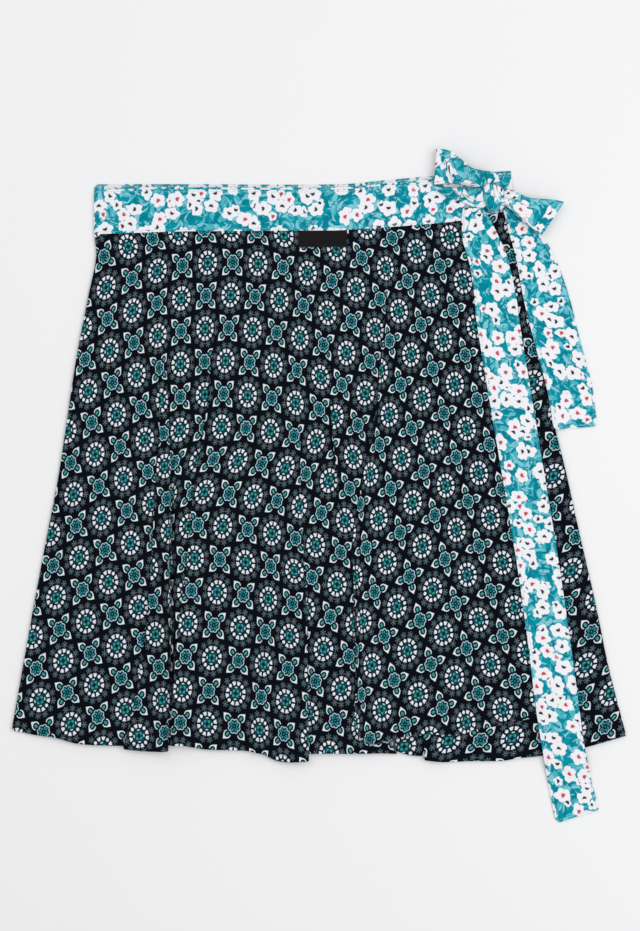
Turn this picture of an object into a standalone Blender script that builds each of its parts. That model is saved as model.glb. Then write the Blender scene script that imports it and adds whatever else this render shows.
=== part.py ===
"""A flared wrap skirt, laid out flat on a table with its bow tied.

Three cloth panels lie on each other: the back, the under lap and the upper lap. Each hangs from its
own stretch of waistband. The flare makes the upper lap too wide for the table, so it lies in radial
folds that start below the waist and grow towards the hem. At the right the band ends in a bow with
two loops, a knot and two free ends.

All tables are in millimetres as measured on the table, seen from above: x runs to the right and y
runs down, from the waist to the hem. on_table() turns them into the part's frame, in metres, with
+Y towards the waist, +Z up and the origin under the middle of the whole garment.
"""

from bisect import bisect_right
from math import cos, exp, hypot, pi, sin

import bpy
from mathutils import Vector

# ---------------------------------------------------------------- driving dimensions, millimetres
WALL = 1.0            # thickness of a panel or of the band
TIE_WALL = 1.2        # the ties are sewn double
AIR = 0.3             # air between two layers, and across a seam
PITCH = WALL + AIR    # from one layer to the next

TABLE_MID_X = 318.8   # middle of the garment on the table, left to right
TABLE_MID_Y = 485.9   # middle of the garment on the table, top to bottom

FOLD_TURN_SHARE = 0.12  # share of the skirt's length in which a fold closes
FOLD_STEPS = 3          # faces round each folded edge
FOLD_LEAST_DEPTH = 0.4  # hidden cloth where a fold starts
BACK_STEP = 6.0         # the hem of the hidden cloth slants up within this distance of its edge
BACK_SLANT = 10.0       # where the hem is this much lower in front of a fold than behind it
FOLD_HOLD = 2.0         # how far a layer stays up past the cloth hidden under it
FOLD_RAMP = 13.0        # then it sinks to the layer below over this width
LEAST_STEP = 5.0        # columns of points in a panel are at least this far apart at the hem
CREST_HEIGHT = 2.5      # the cloth already bulges above the point where a fold closes
CREST_WIDTH = 11.0

SIDE_SAG_START = 6.0    # near the left side no under lap lies below, so the upper lap sinks
SIDE_SAG_WIDTH = 20.0

ROW_COUNT = 26          # rows of points from the waist to the hem


def level(layer):
    """Height of the middle of a layer; layer 0 lies on the table."""
    return WALL / 2 + layer * PITCH


# ---------------------------------------------------------------- outline tables

# A line from the waist to the hem is given by its x at these shares of its length.
SHARES = (0, 0.05, 0.125, 0.25, 0.375, 0.5, 0.625, 0.75, 0.875, 1)
LINE_X = {
    "left side":     (94.0, 96.0, 88.5, 76.5, 67.0, 57.5, 45.5, 33.8, 22.8, 11.8),
    "strip left":    (150, 150.5, 152, 159, 160, 155.5, 152, 147, 138, 123.5),
    "strip right":   (168, 168, 168, 167, 169, 171, 171, 171, 170.5, 168),
    "valley right":  (218, 217.5, 216, 212, 205, 194, 188.5, 180.5, 174.5, 170.5),
    "soft ridge":    (312, 311, 309, 305, 300, 284, 274, 268, 262, 256),
    "lobe right":    (300, 300, 300, 300, 300, 301, 304, 307, 308, 308.5),
    "sliver":        (324, 324, 325, 328.5, 332, 338.5, 343, 344, 345, 346),
    "main fold":     (392, 391, 388, 381, 376, 363, 353, 354.5, 355.8, 354.5),
    "main sinks":    (404, 404, 404, 406, 414, 430, 443, 446, 449, 454),
    "over free edge": (468, 472, 478, 488, 498, 508, 518, 528, 538, 548),
    "under free edge": (125, 122.5, 118.8, 112.5, 106.2, 100, 93.8, 87.5, 81.2, 75),
    "under fold":    (452, 451, 449, 444, 438, 428, 416, 418, 421, 425),
    "right side":    (515, 520, 527, 538.5, 550, 566, 580.5, 595.5, 609, 625.8),
}

# Folds, from left to right. The side named lies on top, and depth is the hidden cloth at the hem.
# The cloth on top sinks again just past the hidden cloth, or at a line of its own, or stays up.
#    line           on top   starts  ends  depth  sinks
OVER_FOLDS = (
    ("strip left",   "right", 0.22, 1.00, 6, "never"),
    ("strip right",  "left",  0.24, 1.00, 26, "never"),
    ("valley right", "right", 0.16, 1.00, 14, "at once"),
    ("lobe right",   "left",  0.52, 1.00, 16, "at once"),
    ("sliver",       "right", 0.20, 0.58, 4, "at once"),
    ("main fold",    "right", 0.14, 1.00, 38, "main sinks"),
)
UNDER_FOLDS = (
    ("under fold",   "right", 0.56, 1.00, 9, "at once"),
)

# The hem between one fold and the next, as x, y pairs from left to right.
OVER_HEM = (
    ((11.8, 730.5), (34, 735), (54, 738), (73, 743.6), (97, 745.3), (123.5, 746)),
    ((124, 749), (145, 751), (168, 751)),
    ((142, 745), (160, 745), (184, 745.5)),
    ((170.5, 745), (185, 745.5), (202, 749), (226, 750), (248, 751), (262, 754), (276, 760.5),
     (291, 762), (308.5, 761)),
    ((292.5, 756), (309, 754), (328, 753.6), (346, 753.6)),
    ((347, 753.6), (365, 753.6), (382, 753.4), (396, 753.8)),
    ((354.5, 728.6), (359.8, 737.3), (364.9, 744.2), (370, 745.6), (376, 743.4), (384, 740.4),
     (396, 737.6), (416, 735), (436, 734.2), (463, 734), (472, 730), (490, 727), (518, 721),
     (548, 714.5)),
)
UNDER_HEM = (
    ((75, 735), (120, 740), (180, 741), (250, 746), (300, 750), (350, 750), (386, 751),
     (397, 754.6), (407, 756), (415, 755.6), (424, 755)),
    ((425.5, 760.2), (434, 761.3), (447, 762.2), (471, 761.2), (502, 761), (518, 758.4),
     (540, 756), (585, 747.5), (605, 742), (625.8, 736)),
)
BACK_HEM = (
    ((13.5, 727.5), (45, 731), (100, 741), (180, 741), (250, 746), (300, 750), (350, 750),
     (392, 751), (430, 754), (470, 758), (510, 757), (540, 752.5), (585, 744), (623.5, 733)),
)

# The band's lower edge, where the panels hang: x, y
SEAM = ((94, 232.4), (131, 231.4), (172, 230), (223, 229.4), (300, 229), (330, 229), (380, 226),
        (420, 223), (460, 219), (493, 211.8), (515, 208))
# The band's upper edge: x, y of the back stretch, and how much lower the front stretch lies
BAND_TOP = ((93.5, 188.5), (96, 185), (102, 184), (200, 184), (340, 184), (385, 180), (430, 176),
            (472, 173), (511, 170.6))
FRONT_DROP = 5.5
BAND_ROWS = 4
BAND_STEP = 4.0       # columns closer together than this are left out of the band

# ---------------------------------------------------------------- the label, the bow and the ties
LABEL = {"left": 298.5, "right": 347, "top": 230.6, "bottom": 247.2, "thick": 0.6}

KNOT = {"mid_x": 493, "mid_y": 198.5, "half_x": 10.2, "half_y": 14.6, "bottom": 2.8, "top": 15.5}

# A strip lies between its two edges. lift is the height of its underside above what it lies on.
#    left x, y      right x, y     lift
TIE_LONG = (
    (463.0, 208.5, 482.0, 208.5, 0.0),
    (461.5, 219.0, 489.5, 219.0, 0.0),
    (462.5, 240.0, 499.0, 238.0, 0.0),
    (466.0, 252.0, 505.5, 253.0, 0.0),
    (470.5, 270.0, 511.0, 273.0, 0.0),
    (474.5, 300.0, 516.5, 300.0, 0.0),
    (477.6, 330.0, 520.6, 330.0, 0.0),
    (496.8, 445.0, 539.3, 445.0, 0.0),
    (516.0, 560.0, 558.0, 560.0, 0.0),
    (528.5, 649.0, 571.0, 649.0, 0.0),
    (534.6, 701.0, 578.0, 701.0, 0.0),
    (540.5, 739.0, 583.0, 739.0, 0.0),
    (545.0, 765.0, 588.3, 765.0, 0.0),
    (548.5, 785.0, 592.4, 785.0, 0.0),
    (556.5, 822.5, 599.0, 810.0, 0.0),
)
TIE_SHORT = (
    (503.9, 213.0, 503.9, 203.0, 1.4),
    (506.5, 223.0, 521.0, 213.0, 1.0),
    (510.0, 237.0, 537.0, 230.0, 0.5),
    (514.0, 250.0, 549.0, 246.0, 0.2),
    (518.0, 268.0, 558.0, 264.0, 0.1),
    (523.7, 300.0, 569.5, 297.0, 0.1),
    (534.0, 341.0, 580.5, 341.0, 0.1),
    (545.0, 382.0, 591.0, 380.0, 0.1),
    (550.5, 403.0, 594.5, 402.0, 0.1),
    (553.5, 428.5, 596.3, 424.5, 0.1),
)
BAND_GATHER = (
    (434.0, 188.8, 434.0, 187.0, 0.3),
    (441.0, 193.5, 441.0, 187.0, 0.4),
    (448.0, 198.5, 448.0, 187.3, 0.5),
    (456.0, 200.0, 456.0, 187.5, 0.6),
    (463.0, 202.5, 463.0, 187.8, 0.8),
    (472.0, 206.5, 472.0, 188.0, 1.4),
    (482.0, 207.5, 482.0, 188.0, 2.6),
)
# A loop goes out from the knot along its edges, turns over at its far end and comes back on top.
#    upper x, y     lower x, y     under, top (height of the middle of each layer)
LOOP_LEFT = (
    (499.5, 182.2, 485.4, 183.6, 7.8, 11.0),
    (493.5, 174.0, 481.0, 184.6, 7.4, 12.2),
    (481.0, 171.5, 474.0, 186.2, 6.8, 12.6),
    (469.0, 167.5, 465.0, 186.6, 6.2, 12.2),
    (458.5, 158.2, 453.5, 184.4, 5.6, 11.4),
    (448.5, 153.8, 442.5, 184.8, 5.3, 10.6),
    (438.6, 149.8, 435.4, 185.2, 5.2, 9.8),
)
LOOP_RIGHT = (
    (503.6, 191.5, 503.6, 205.0, 8.0, 11.0),
    (512.0, 191.5, 510.0, 210.0, 7.9, 12.2),
    (521.0, 196.0, 517.0, 216.5, 7.2, 12.2),
    (530.0, 199.0, 525.0, 223.5, 6.6, 11.8),
    (543.0, 201.2, 532.5, 230.0, 6.2, 11.2),
    (560.0, 201.6, 540.0, 234.0, 6.0, 10.6),
)
LOOP_TURN_STEPS = 5
FULL_GATHER_WIDTH = 12.0   # where a strip is narrower, its gathers are lower

# Colours: red, green, blue of the ground, roughness
DARK_PRINT = ((0.006, 0.006, 0.012), 0.75)
TEAL_PRINT = ((0.18, 0.55, 0.62), 0.7)
BLACK_LABEL = ((0.012, 0.011, 0.012), 0.6)


# ---------------------------------------------------------------- curves through a table

def curve(places, values):
    """A smooth function through the table's points, level beyond its ends."""
    slopes = []
    last = len(places) - 1
    for i in range(len(places)):
        low, high = max(i - 1, 0), min(i + 1, last)
        slopes.append((values[high] - values[low]) / (places[high] - places[low]))

    def at(place):
        if place <= places[0]:
            return values[0]
        if place >= places[last]:
            return values[last]
        i = bisect_right(places, place) - 1
        width = places[i + 1] - places[i]
        t = (place - places[i]) / width
        rise = values[i + 1] - values[i]
        bend_in = slopes[i] * width - rise
        bend_out = -slopes[i + 1] * width + rise
        return values[i] + t * rise + t * (1 - t) * ((1 - t) * bend_in + t * bend_out)

    return at


def straight(pairs):
    """The function that joins x, y pairs with straight lines."""
    places = [x for x, _ in pairs]

    def at(place):
        i = min(max(bisect_right(places, place) - 1, 0), len(pairs) - 2)
        (x0, y0), (x1, y1) = pairs[i], pairs[i + 1]
        return y0 + (y1 - y0) * (place - x0) / (x1 - x0)

    return at


def ease(t):
    """0 before 0, 1 after 1, and smooth between."""
    t = min(max(t, 0.0), 1.0)
    return t * t * (3 - 2 * t)


def bell(distance):
    return exp(-distance * distance)


LINES = {name: curve(SHARES, xs) for name, xs in LINE_X.items()}
SEAM_Y = curve([x for x, _ in SEAM], [y for _, y in SEAM])
BAND_TOP_Y = curve([x for x, _ in BAND_TOP], [y for _, y in BAND_TOP])
WAIST_Y = 230.0
SKIRT_LENGTH = 522.0


def share_at(y):
    """Roughly how far down the skirt a height on the table lies, from 0 to 1."""
    return min(max((y - WAIST_Y) / SKIRT_LENGTH, 0.0), 1.0)


# ---------------------------------------------------------------- what lies under each piece

def side_sag(x, y):
    """How much the upper lap sinks near the left side, past the under lap's free edge."""
    inside = x - LINES["left side"](share_at(y))
    return PITCH * (1 - ease((inside - SIDE_SAG_START) / SIDE_SAG_WIDTH))


def crest(x, y):
    """The soft bulges that a fold grows out of, and the one long soft ridge."""
    share = share_at(y)
    height = 0.0
    for line, _, start, _, _, _ in OVER_FOLDS:
        grows = ease((share - 0.04) / start) * (1 - ease((share - start) / FOLD_TURN_SHARE))
        height += CREST_HEIGHT * grows * bell((x - LINES[line](share)) / CREST_WIDTH)
    ridge = ease((share - 0.3) / 0.4) * bell((x - LINES["soft ridge"](share)) / CREST_WIDTH)
    return height + CREST_HEIGHT * ridge


def under_long_tie(x, y):
    """Top of the skirt under the long tie, and the table past the hem."""
    past_lap = ease((y - 712) / 30)
    past_hem = ease((y - 761) / 22)
    return 0.1 + 3 * PITCH - PITCH * 0.6 * past_lap - (3 - 0.6) * PITCH * past_hem


def under_short_tie(x, y):
    """The skirt's right edge under the short tie, and the table beside it."""
    share = min(max((y - 208) / 528, 0.0), 1.0)
    outside = x - LINES["right side"](share)
    return 2 * PITCH * (1 - ease((outside - 1.5) / 12))


def on_band(x, y):
    return 3 * PITCH


# ---------------------------------------------------------------- folded sections

class Fold:
    """A flattened fold: cloth goes under an edge, comes back, and goes on, one layer higher."""

    def __init__(self, line, on_top, start, end, depth, sinks):
        self.line = LINES[line]
        self.right_on_top = on_top == "right"
        self.start = start
        self.end = end
        self.full_depth = depth
        self.sinks = sinks

    def turn(self, share):
        """The angle that the cloth turns through at each of the two edges."""
        closes = (share - self.start) / FOLD_TURN_SHARE
        if self.end < 1:
            closes = min(closes, (self.end - share) / FOLD_TURN_SHARE)
        return pi * min(max(closes, 0.001), 1.0)

    def depth(self, share):
        closed = self.start + FOLD_TURN_SHARE
        if self.end < 1:
            closed_again = self.end - FOLD_TURN_SHARE
            along = (share - closed) / (closed_again - closed)
            return max(self.full_depth * sin(pi * min(max(along, 0.0), 1.0)), FOLD_LEAST_DEPTH)
        return max(self.full_depth * (share - closed) / (1 - closed), FOLD_LEAST_DEPTH)

    def section(self, share):
        """Points x, z from the left run to the right run, and the rise of the layer on top."""
        turn, depth = self.turn(share), self.depth(share)
        radius = pi * PITCH / 2 / turn
        if turn > pi / 2:
            radius = (2 * PITCH - depth * sin(turn)) / (2 * (1 - cos(turn)))
        points = []
        for step in range(FOLD_STEPS + 1):
            angle = turn * step / FOLD_STEPS
            points.append((radius * sin(angle), radius * (1 - cos(angle))))
        end_x = points[-1][0] + depth * cos(turn)
        end_z = points[-1][1] + depth * sin(turn)
        for step in range(FOLD_STEPS + 1):
            angle = turn * (1 - step / FOLD_STEPS)
            points.append((end_x + radius * (sin(turn) - sin(angle)),
                           end_z + radius * (cos(angle) - cos(turn))))
        rise = points[-1][1]
        # a closed fold shows its edge on the line, and its middle lies half the depth behind that
        middle = points[-1][0] / 2
        behind = (PITCH + depth) / 2 * turn / pi
        points = [(x - middle + behind, z) for x, z in points]
        if not self.right_on_top:
            points = [(-x, z) for x, z in reversed(points)]
        return [(self.line(share) + x, z) for x, z in points], rise

    def points(self, share, y_from, y_to):
        """The fold's points x, z with their hem y, when its two sides reach the hem at y_from, y_to.

        The fold's line is measured on the side that lies on top. The other side's rows lie a little
        higher or lower on the table, so its points are taken from the section there.
        """
        y_on_top = y_to if self.right_on_top else y_from
        half = FOLD_STEPS + 1

        def section_at(y_hem):
            return self.section(share * (y_hem - WAIST_Y) / (y_on_top - WAIST_Y))[0]

        first = [(x, z, y_from) for x, z in section_at(y_from)[:half]]
        second = [(x, z, y_to) for x, z in section_at(y_to)[half:]]
        if abs(y_to - y_from) < BACK_SLANT:
            return first + second
        # the hidden cloth's hem rises fast from its edge, so that it stays hidden
        depth = self.depth(share)
        slant = 0.5 + 0.2 * ease((depth - BACK_STEP) / BACK_STEP)
        near = min(0.5, BACK_STEP / depth)
        y_back = y_from + (y_to - y_from) * slant
        (x0, z0), (x1, z1) = section_at(y_back)[half - 1:half + 1]
        return first + [(x0 + (x1 - x0) * near, z0 + (z1 - z0) * near, y_back)] + second

    def slope(self, share):
        """Where the layer on top starts to sink, and where it has sunk. None if it stays up."""
        if self.sinks == "never":
            return None
        points, _ = self.section(share)
        if self.sinks in LINES:
            start = LINES[self.sinks](share)
        elif self.right_on_top:
            start = max(x for x, _ in points) + FOLD_HOLD
        else:
            start = min(x for x, _ in points) - FOLD_HOLD
        return start, start + (FOLD_RAMP if self.right_on_top else -FOLD_RAMP)


class Run:
    """The cloth between one fold and the next, or between a fold and the panel's side."""

    def __init__(self, before, after, hem, left_line, right_line):
        self.before = before if before and before.right_on_top else None
        self.after = after if after and not after.right_on_top else None
        self.left_line = left_line
        self.right_line = right_line
        marks = self.marks(1.0, hem[0][0], hem[-1][0])
        hem_y = straight(hem)
        columns = set(marks)
        for k in range(1, len(marks) - 2, 2):
            columns.add((marks[k] + marks[k + 1]) / 2)
        for x, _ in hem:
            if min(abs(x - other) for other in columns) > LEAST_STEP:
                columns.add(x)
        self.columns = []
        for x in sorted(columns):
            k = min(max(bisect_right(marks, x) - 1, 0), len(marks) - 2)
            self.columns.append((k, (x - marks[k]) / (marks[k + 1] - marks[k]), hem_y(x)))

    def marks(self, share, x_left, x_right):
        """The run's ends and, between them, the ends of the stretches in which it sinks."""
        marks = [x_left]
        if self.before and self.before.slope(share):
            marks += self.before.slope(share)
        if self.after and self.after.slope(share):
            marks += reversed(self.after.slope(share))
        return marks + [x_right]

    def points(self, share, x_left, x_right):
        """The run's points in one row: x, height above its layer, and the hem's y below them."""
        marks = self.marks(share, x_left, x_right)
        points = []
        for k, part, y_hem in self.columns:
            x = marks[k] + (marks[k + 1] - marks[k]) * part
            points.append((x, self.height(share, x), y_hem))
        return points

    def height(self, share, x):
        """How high the run lies at x above its layer."""
        height = 0.0
        for fold in (self.before, self.after):
            if fold:
                _, rise = fold.section(share)
                if fold.slope(share):
                    start, end = fold.slope(share)
                    rise *= 1 - ease((x - start) / (end - start))
                height = max(height, rise)
        return height


def panel_row(share, folds, runs, hem):
    """One row of a folded panel: table x, height above its layer, and where it meets the hem."""
    bends = [fold.points(share, hem[i][-1][1], hem[i + 1][0][1]) for i, fold in enumerate(folds)]
    row = []
    for i, run in enumerate(runs):
        x_left = bends[i - 1][-1][0] if i > 0 else run.left_line(share)
        x_right = bends[i][0][0] if i < len(folds) else run.right_line(share)
        row.extend(run.points(share, x_left, x_right))
        if i < len(folds):
            row.extend(bends[i][1:-1])
    return row


def folded_panel(folds, hem, left_line, right_line, height_at):
    """The middle surface of a panel, row by row from the waist to the hem."""
    folds = [Fold(*fold) for fold in folds]
    around = [None] + folds + [None]
    runs = [Run(around[i], around[i + 1], stretch, LINES[left_line], LINES[right_line])
            for i, stretch in enumerate(hem)]
    tops = [SEAM_Y(x) + AIR for x, _, _ in panel_row(0.0, folds, runs, hem)]
    rows = []
    for r in range(ROW_COUNT):
        share = r / (ROW_COUNT - 1)
        row = []
        for (x, height, y_hem), y_top in zip(panel_row(share, folds, runs, hem), tops):
            y = y_top + (y_hem - y_top) * share
            row.append((x, y, height + height_at(x, y)))
        rows.append(row)
    return rows


# ---------------------------------------------------------------- solids from a middle surface

def on_table(x, y, z):
    """From millimetres on the table to metres in the part's frame."""
    return Vector((x - TABLE_MID_X, TABLE_MID_Y - y, z)) / 1000


def wall_steps(grid):
    """At each point of a grid, the step from the middle surface to one at unit distance above it.

    Where the cloth turns sharply between two neighbours in a row, the step is mitred.
    """
    steps = []
    for r, row in enumerate(grid):
        line = []
        for c, point in enumerate(row):
            down = Vector((0, 0, 0))
            for a, b in ((r - 1, r), (r, r + 1)):
                if a >= 0 and b < len(grid):
                    down += (grid[b][c] - grid[a][c]).normalized()
            normals = []
            for a, b in ((c - 1, c), (c, c + 1)):
                if a >= 0 and b < len(row):
                    normals.append(down.cross(row[b] - row[a]).normalized())
            middle = sum(normals, Vector((0, 0, 0))) / len(normals)
            line.append(middle / middle.dot(middle))
        steps.append(line)
    return steps


def build_object(name, points, faces, look):
    """An object with its own plain material, flat-shaded where its edges are sharp."""
    (red, green, blue), roughness = look
    mesh = bpy.data.meshes.new(name)
    mesh.from_pydata(points, [], faces)
    mesh.validate()
    piece = bpy.data.objects.new(name, mesh)
    bpy.context.scene.collection.objects.link(piece)
    material = bpy.data.materials.new(name)
    material.use_nodes = True
    shader = material.node_tree.nodes["Principled BSDF"]
    shader.inputs["Base Color"].default_value = (red, green, blue, 1)
    shader.inputs["Roughness"].default_value = roughness
    shader.inputs["Metallic"].default_value = 0
    mesh.materials.append(material)
    mesh.shade_smooth()
    mesh.set_sharp_from_angle(angle=0.6)
    return piece


def cloth_solid(name, rows, wall, look):
    """A closed wall of cloth round a middle surface, given as rows of points on the table."""
    grid = [[on_table(*point) for point in row] for row in rows]
    steps = wall_steps(grid)
    half = wall / 2000
    count, columns = len(grid) * len(grid[0]), len(grid[0])
    points = [p + n * half for row, normals in zip(grid, steps) for p, n in zip(row, normals)]
    points += [p - n * half for row, normals in zip(grid, steps) for p, n in zip(row, normals)]

    def corner(side, r, c):
        return side * count + r * columns + c

    faces = []
    last_r, last_c = len(grid) - 1, columns - 1
    for r in range(last_r):
        for c in range(last_c):
            face = [corner(0, r, c), corner(0, r + 1, c), corner(0, r + 1, c + 1), corner(0, r, c + 1)]
            faces.append(face)
            faces.append([count + p for p in reversed(face)])
    for r in range(last_r):
        faces.append([corner(0, r + 1, 0), corner(0, r, 0), corner(1, r, 0), corner(1, r + 1, 0)])
        faces.append([corner(0, r, last_c), corner(0, r + 1, last_c),
                      corner(1, r + 1, last_c), corner(1, r, last_c)])
    for c in range(last_c):
        faces.append([corner(0, 0, c), corner(0, 0, c + 1), corner(1, 0, c + 1), corner(1, 0, c)])
        faces.append([corner(0, last_r, c + 1), corner(0, last_r, c),
                      corner(1, last_r, c), corner(1, last_r, c + 1)])
    return build_object(name, points, faces, look)


# ---------------------------------------------------------------- the pieces

def make_panels():
    def on_under_lap(x, y):
        return level(2) - side_sag(x, y) + crest(x, y)

    back = folded_panel((), BACK_HEM, "left side", "right side", lambda x, y: level(0))
    under = folded_panel(UNDER_FOLDS, UNDER_HEM, "under free edge", "right side",
                         lambda x, y: level(1))
    over = folded_panel(OVER_FOLDS, OVER_HEM, "left side", "over free edge", on_under_lap)
    cloth_solid("back_panel", back, WALL, DARK_PRINT)
    cloth_solid("under_lap", under, WALL, DARK_PRINT)
    cloth_solid("over_lap", over, WALL, DARK_PRINT)
    return back[0], under[0], over[0]


def band_strip(name, panel_top, right_end, drop):
    """A stretch of the waistband, made from the upper edge of the panel that hangs from it."""
    columns = [panel_top[0]]
    for point in panel_top[1:-1]:
        if min(point[0] - columns[-1][0], panel_top[-1][0] - point[0]) > BAND_STEP:
            columns.append(point)
    columns.append(panel_top[-1])
    first_x, last_x = columns[0][0], columns[-1][0]
    rows = []
    for r in range(BAND_ROWS):
        down = r / (BAND_ROWS - 1)
        row = []
        for x_low, y_low, z in columns:
            x_high = first_x + (x_low - first_x) * (right_end - first_x) / (last_x - first_x)
            y_high = BAND_TOP_Y(x_high) + drop
            row.append((x_high + (x_low - x_high) * down,
                        y_high + (y_low - AIR - y_high) * down, z))
        rows.append(row)
    cloth_solid(name, rows, WALL, TEAL_PRINT)


def make_band(back_top, under_top, over_top):
    band_strip("band_back", back_top, 511, 0)
    band_strip("band_under", under_top, 511, FRONT_DROP * 0.6)
    band_strip("band_over", over_top, 462, FRONT_DROP)


def make_label():
    thick = LABEL["thick"]
    middle = 3 * PITCH + thick / 2
    rows = []
    for y in (LABEL["top"], (LABEL["top"] + LABEL["bottom"]) / 2, LABEL["bottom"]):
        rows.append([(x, y, middle) for x in (LABEL["left"], 315, 331, LABEL["right"])])
    cloth_solid("label", rows, thick, BLACK_LABEL)


def along_table(table, steps):
    """Rows of a table read off at even steps, on smooth curves through its columns."""
    numbers = list(range(len(table)))
    columns = [curve(numbers, [row[c] for row in table]) for c in range(len(table[0]))]
    last = len(table) - 1
    return [[column(last * s / (steps - 1)) for column in columns] for s in range(steps)]


def make_strip(name, table, steps, across, under_it, ripple, look):
    """A strip between two edges. ripple(along, across) adds its gathers, in millimetres."""
    rows = []
    for s, (xl, yl, xr, yr, lift) in enumerate(along_table(table, steps)):
        row = []
        for c in range(across):
            f = c / (across - 1)
            x, y = xl + (xr - xl) * f, yl + (yr - yl) * f
            narrow = min(1.0, hypot(xr - xl, yr - yl) / FULL_GATHER_WIDTH)
            gather = narrow * ripple(s / (steps - 1), f)
            height = under_it(x, y) + lift + TIE_WALL / 2 + gather
            row.append((x, y, height))
        rows.append(row)
    cloth_solid(name, rows, TIE_WALL, look)


def make_ties():
    def long_gathers(along, f):
        return 0.9 * (1 - cos(2 * pi * 2 * f)) * (1 - ease(along / 0.1))

    def short_gathers(along, f):
        return 0.5 * (1 - cos(2 * pi * 2 * f)) * (1 - ease(along / 0.25))

    def crumples(along, f):
        return 0.7 * (1 - cos(2 * pi * 1.5 * f)) * (0.4 + 0.6 * sin(pi * along))

    make_strip("tie_long", TIE_LONG, 28, 9, under_long_tie, long_gathers, TEAL_PRINT)
    make_strip("tie_short", TIE_SHORT, 20, 9, under_short_tie, short_gathers, TEAL_PRINT)
    make_strip("band_gather", BAND_GATHER, 9, 7, on_band, crumples, TEAL_PRINT)


def make_loop(name, table, outward, gathers, look):
    """A bow loop: the lower layer goes out, turns over at the far end and comes back on top."""
    steps, across = 9, 8
    sections = along_table(table, steps)
    path = []
    for i, section in enumerate(sections):
        path.append((section, section[4], i / (steps - 1), 0.0))
    last = sections[-1]
    middle, radius = (last[4] + last[5]) / 2, (last[5] - last[4]) / 2
    for step in range(1, LOOP_TURN_STEPS):
        angle = pi * step / LOOP_TURN_STEPS
        path.append((last, middle - radius * cos(angle), 1.0, radius * 0.6 * sin(angle)))
    for i, section in enumerate(reversed(sections)):
        path.append((section, section[5], 1 - i / (steps - 1), 0.0))
    rows = []
    for (xu, yu, xl, yl, _, _), z, along, bulge in path:
        row = []
        for c in range(across):
            f = c / (across - 1)
            waves = 0.8 * cos(2 * pi * gathers * f) * (1 - along) ** 1.5
            x = xu + (xl - xu) * f + outward[0] * bulge
            y = yu + (yl - yu) * f + outward[1] * bulge
            row.append((x, y, z + waves))
        rows.append(row)
    cloth_solid(name, rows, TIE_WALL, look)


def make_knot():
    """A soft lump with two wraps of cloth round it, pulled in where the loops leave."""
    rings, spokes = 9, 18
    half_z = (KNOT["top"] - KNOT["bottom"]) / 2
    mid_z = KNOT["bottom"] + half_z

    def round_off(value):
        return abs(value) ** 0.75 * (1 if value >= 0 else -1)

    points = [on_table(KNOT["mid_x"], KNOT["mid_y"], KNOT["top"])]
    for r in range(1, rings):
        polar = pi * r / rings
        for s in range(spokes):
            around = 2 * pi * s / spokes
            across = round_off(sin(polar))
            groove = 1 - 0.06 * bell(cos(around) / 0.18) * sin(polar)
            x = KNOT["mid_x"] + KNOT["half_x"] * across * round_off(cos(around)) * groove
            y = KNOT["mid_y"] - KNOT["half_y"] * across * round_off(sin(around))
            z = mid_z + half_z * round_off(cos(polar)) * groove
            points.append(on_table(x, y, z))
    points.append(on_table(KNOT["mid_x"], KNOT["mid_y"], KNOT["bottom"]))
    faces = []
    for s in range(spokes):
        t = (s + 1) % spokes
        faces.append([0, 1 + s, 1 + t])
        for r in range(rings - 2):
            first, second = 1 + r * spokes, 1 + (r + 1) * spokes
            faces.append([first + s, second + s, second + t, first + t])
        low = 1 + (rings - 2) * spokes
        faces.append([low + s, len(points) - 1, low + t])
    build_object("knot", points, faces, TEAL_PRINT)


def main():
    for thing in list(bpy.data.objects):
        bpy.data.objects.remove(thing)
    back_top, under_top, over_top = make_panels()
    make_band(back_top, under_top, over_top)
    make_label()
    make_ties()
    make_loop("loop_left", LOOP_LEFT, (-1, 0), 2.0, TEAL_PRINT)
    make_loop("loop_right", LOOP_RIGHT, (0.8, 0.55), 2.0, TEAL_PRINT)
    make_knot()


main()
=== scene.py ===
# %% [markdown]
# # A flared wrap skirt, laid out flat with its bow tied
#
# A wrap skirt has no buttons. Its back and its two front laps hang from one long waistband, the
# laps cross over each other in front, and the band's ends are tied in a bow at the side. This one
# lies on a table, so nearly all of its shape is in how flat cloth folds over itself. In this
# lesson every piece is made from a short table of sizes and a rule, so that a fold can be moved
# by changing one number.

# %% Load the measured model
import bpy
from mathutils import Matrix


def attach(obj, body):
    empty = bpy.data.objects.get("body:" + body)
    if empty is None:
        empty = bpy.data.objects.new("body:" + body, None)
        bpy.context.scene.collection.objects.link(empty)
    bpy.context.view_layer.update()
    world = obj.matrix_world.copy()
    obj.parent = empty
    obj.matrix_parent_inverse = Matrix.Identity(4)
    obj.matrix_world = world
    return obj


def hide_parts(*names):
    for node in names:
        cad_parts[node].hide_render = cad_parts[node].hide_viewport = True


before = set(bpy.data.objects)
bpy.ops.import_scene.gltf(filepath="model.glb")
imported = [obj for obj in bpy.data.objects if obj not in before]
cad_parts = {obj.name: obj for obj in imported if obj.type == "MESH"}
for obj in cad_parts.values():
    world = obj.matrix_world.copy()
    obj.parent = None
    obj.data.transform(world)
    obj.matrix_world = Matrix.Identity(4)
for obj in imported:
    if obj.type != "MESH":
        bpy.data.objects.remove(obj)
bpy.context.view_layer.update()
print("pieces to dress:", ", ".join(sorted(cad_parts)))

# %% [markdown]
# ## Measuring on the table
#
# Someone who copies a garment lays it down and measures it with two rulers: x to the right, and y
# from the waist towards the hem, in millimetres. We do the same, and turn the result into
# Blender's metres only at the very end. The origin of the model lies under the middle of the
# skirt, with +Y towards the waist and +Z up, so y changes its sign.

# %% From the table to the model
from bisect import bisect_right
from functools import partialmethod
from math import ceil, cos, exp, hypot, pi, radians, sin
import bpy
import numpy as np
from mathutils import Vector, noise

TABLE_MID = (318.8, 485.9)
MM_PER_M = 1000


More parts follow.
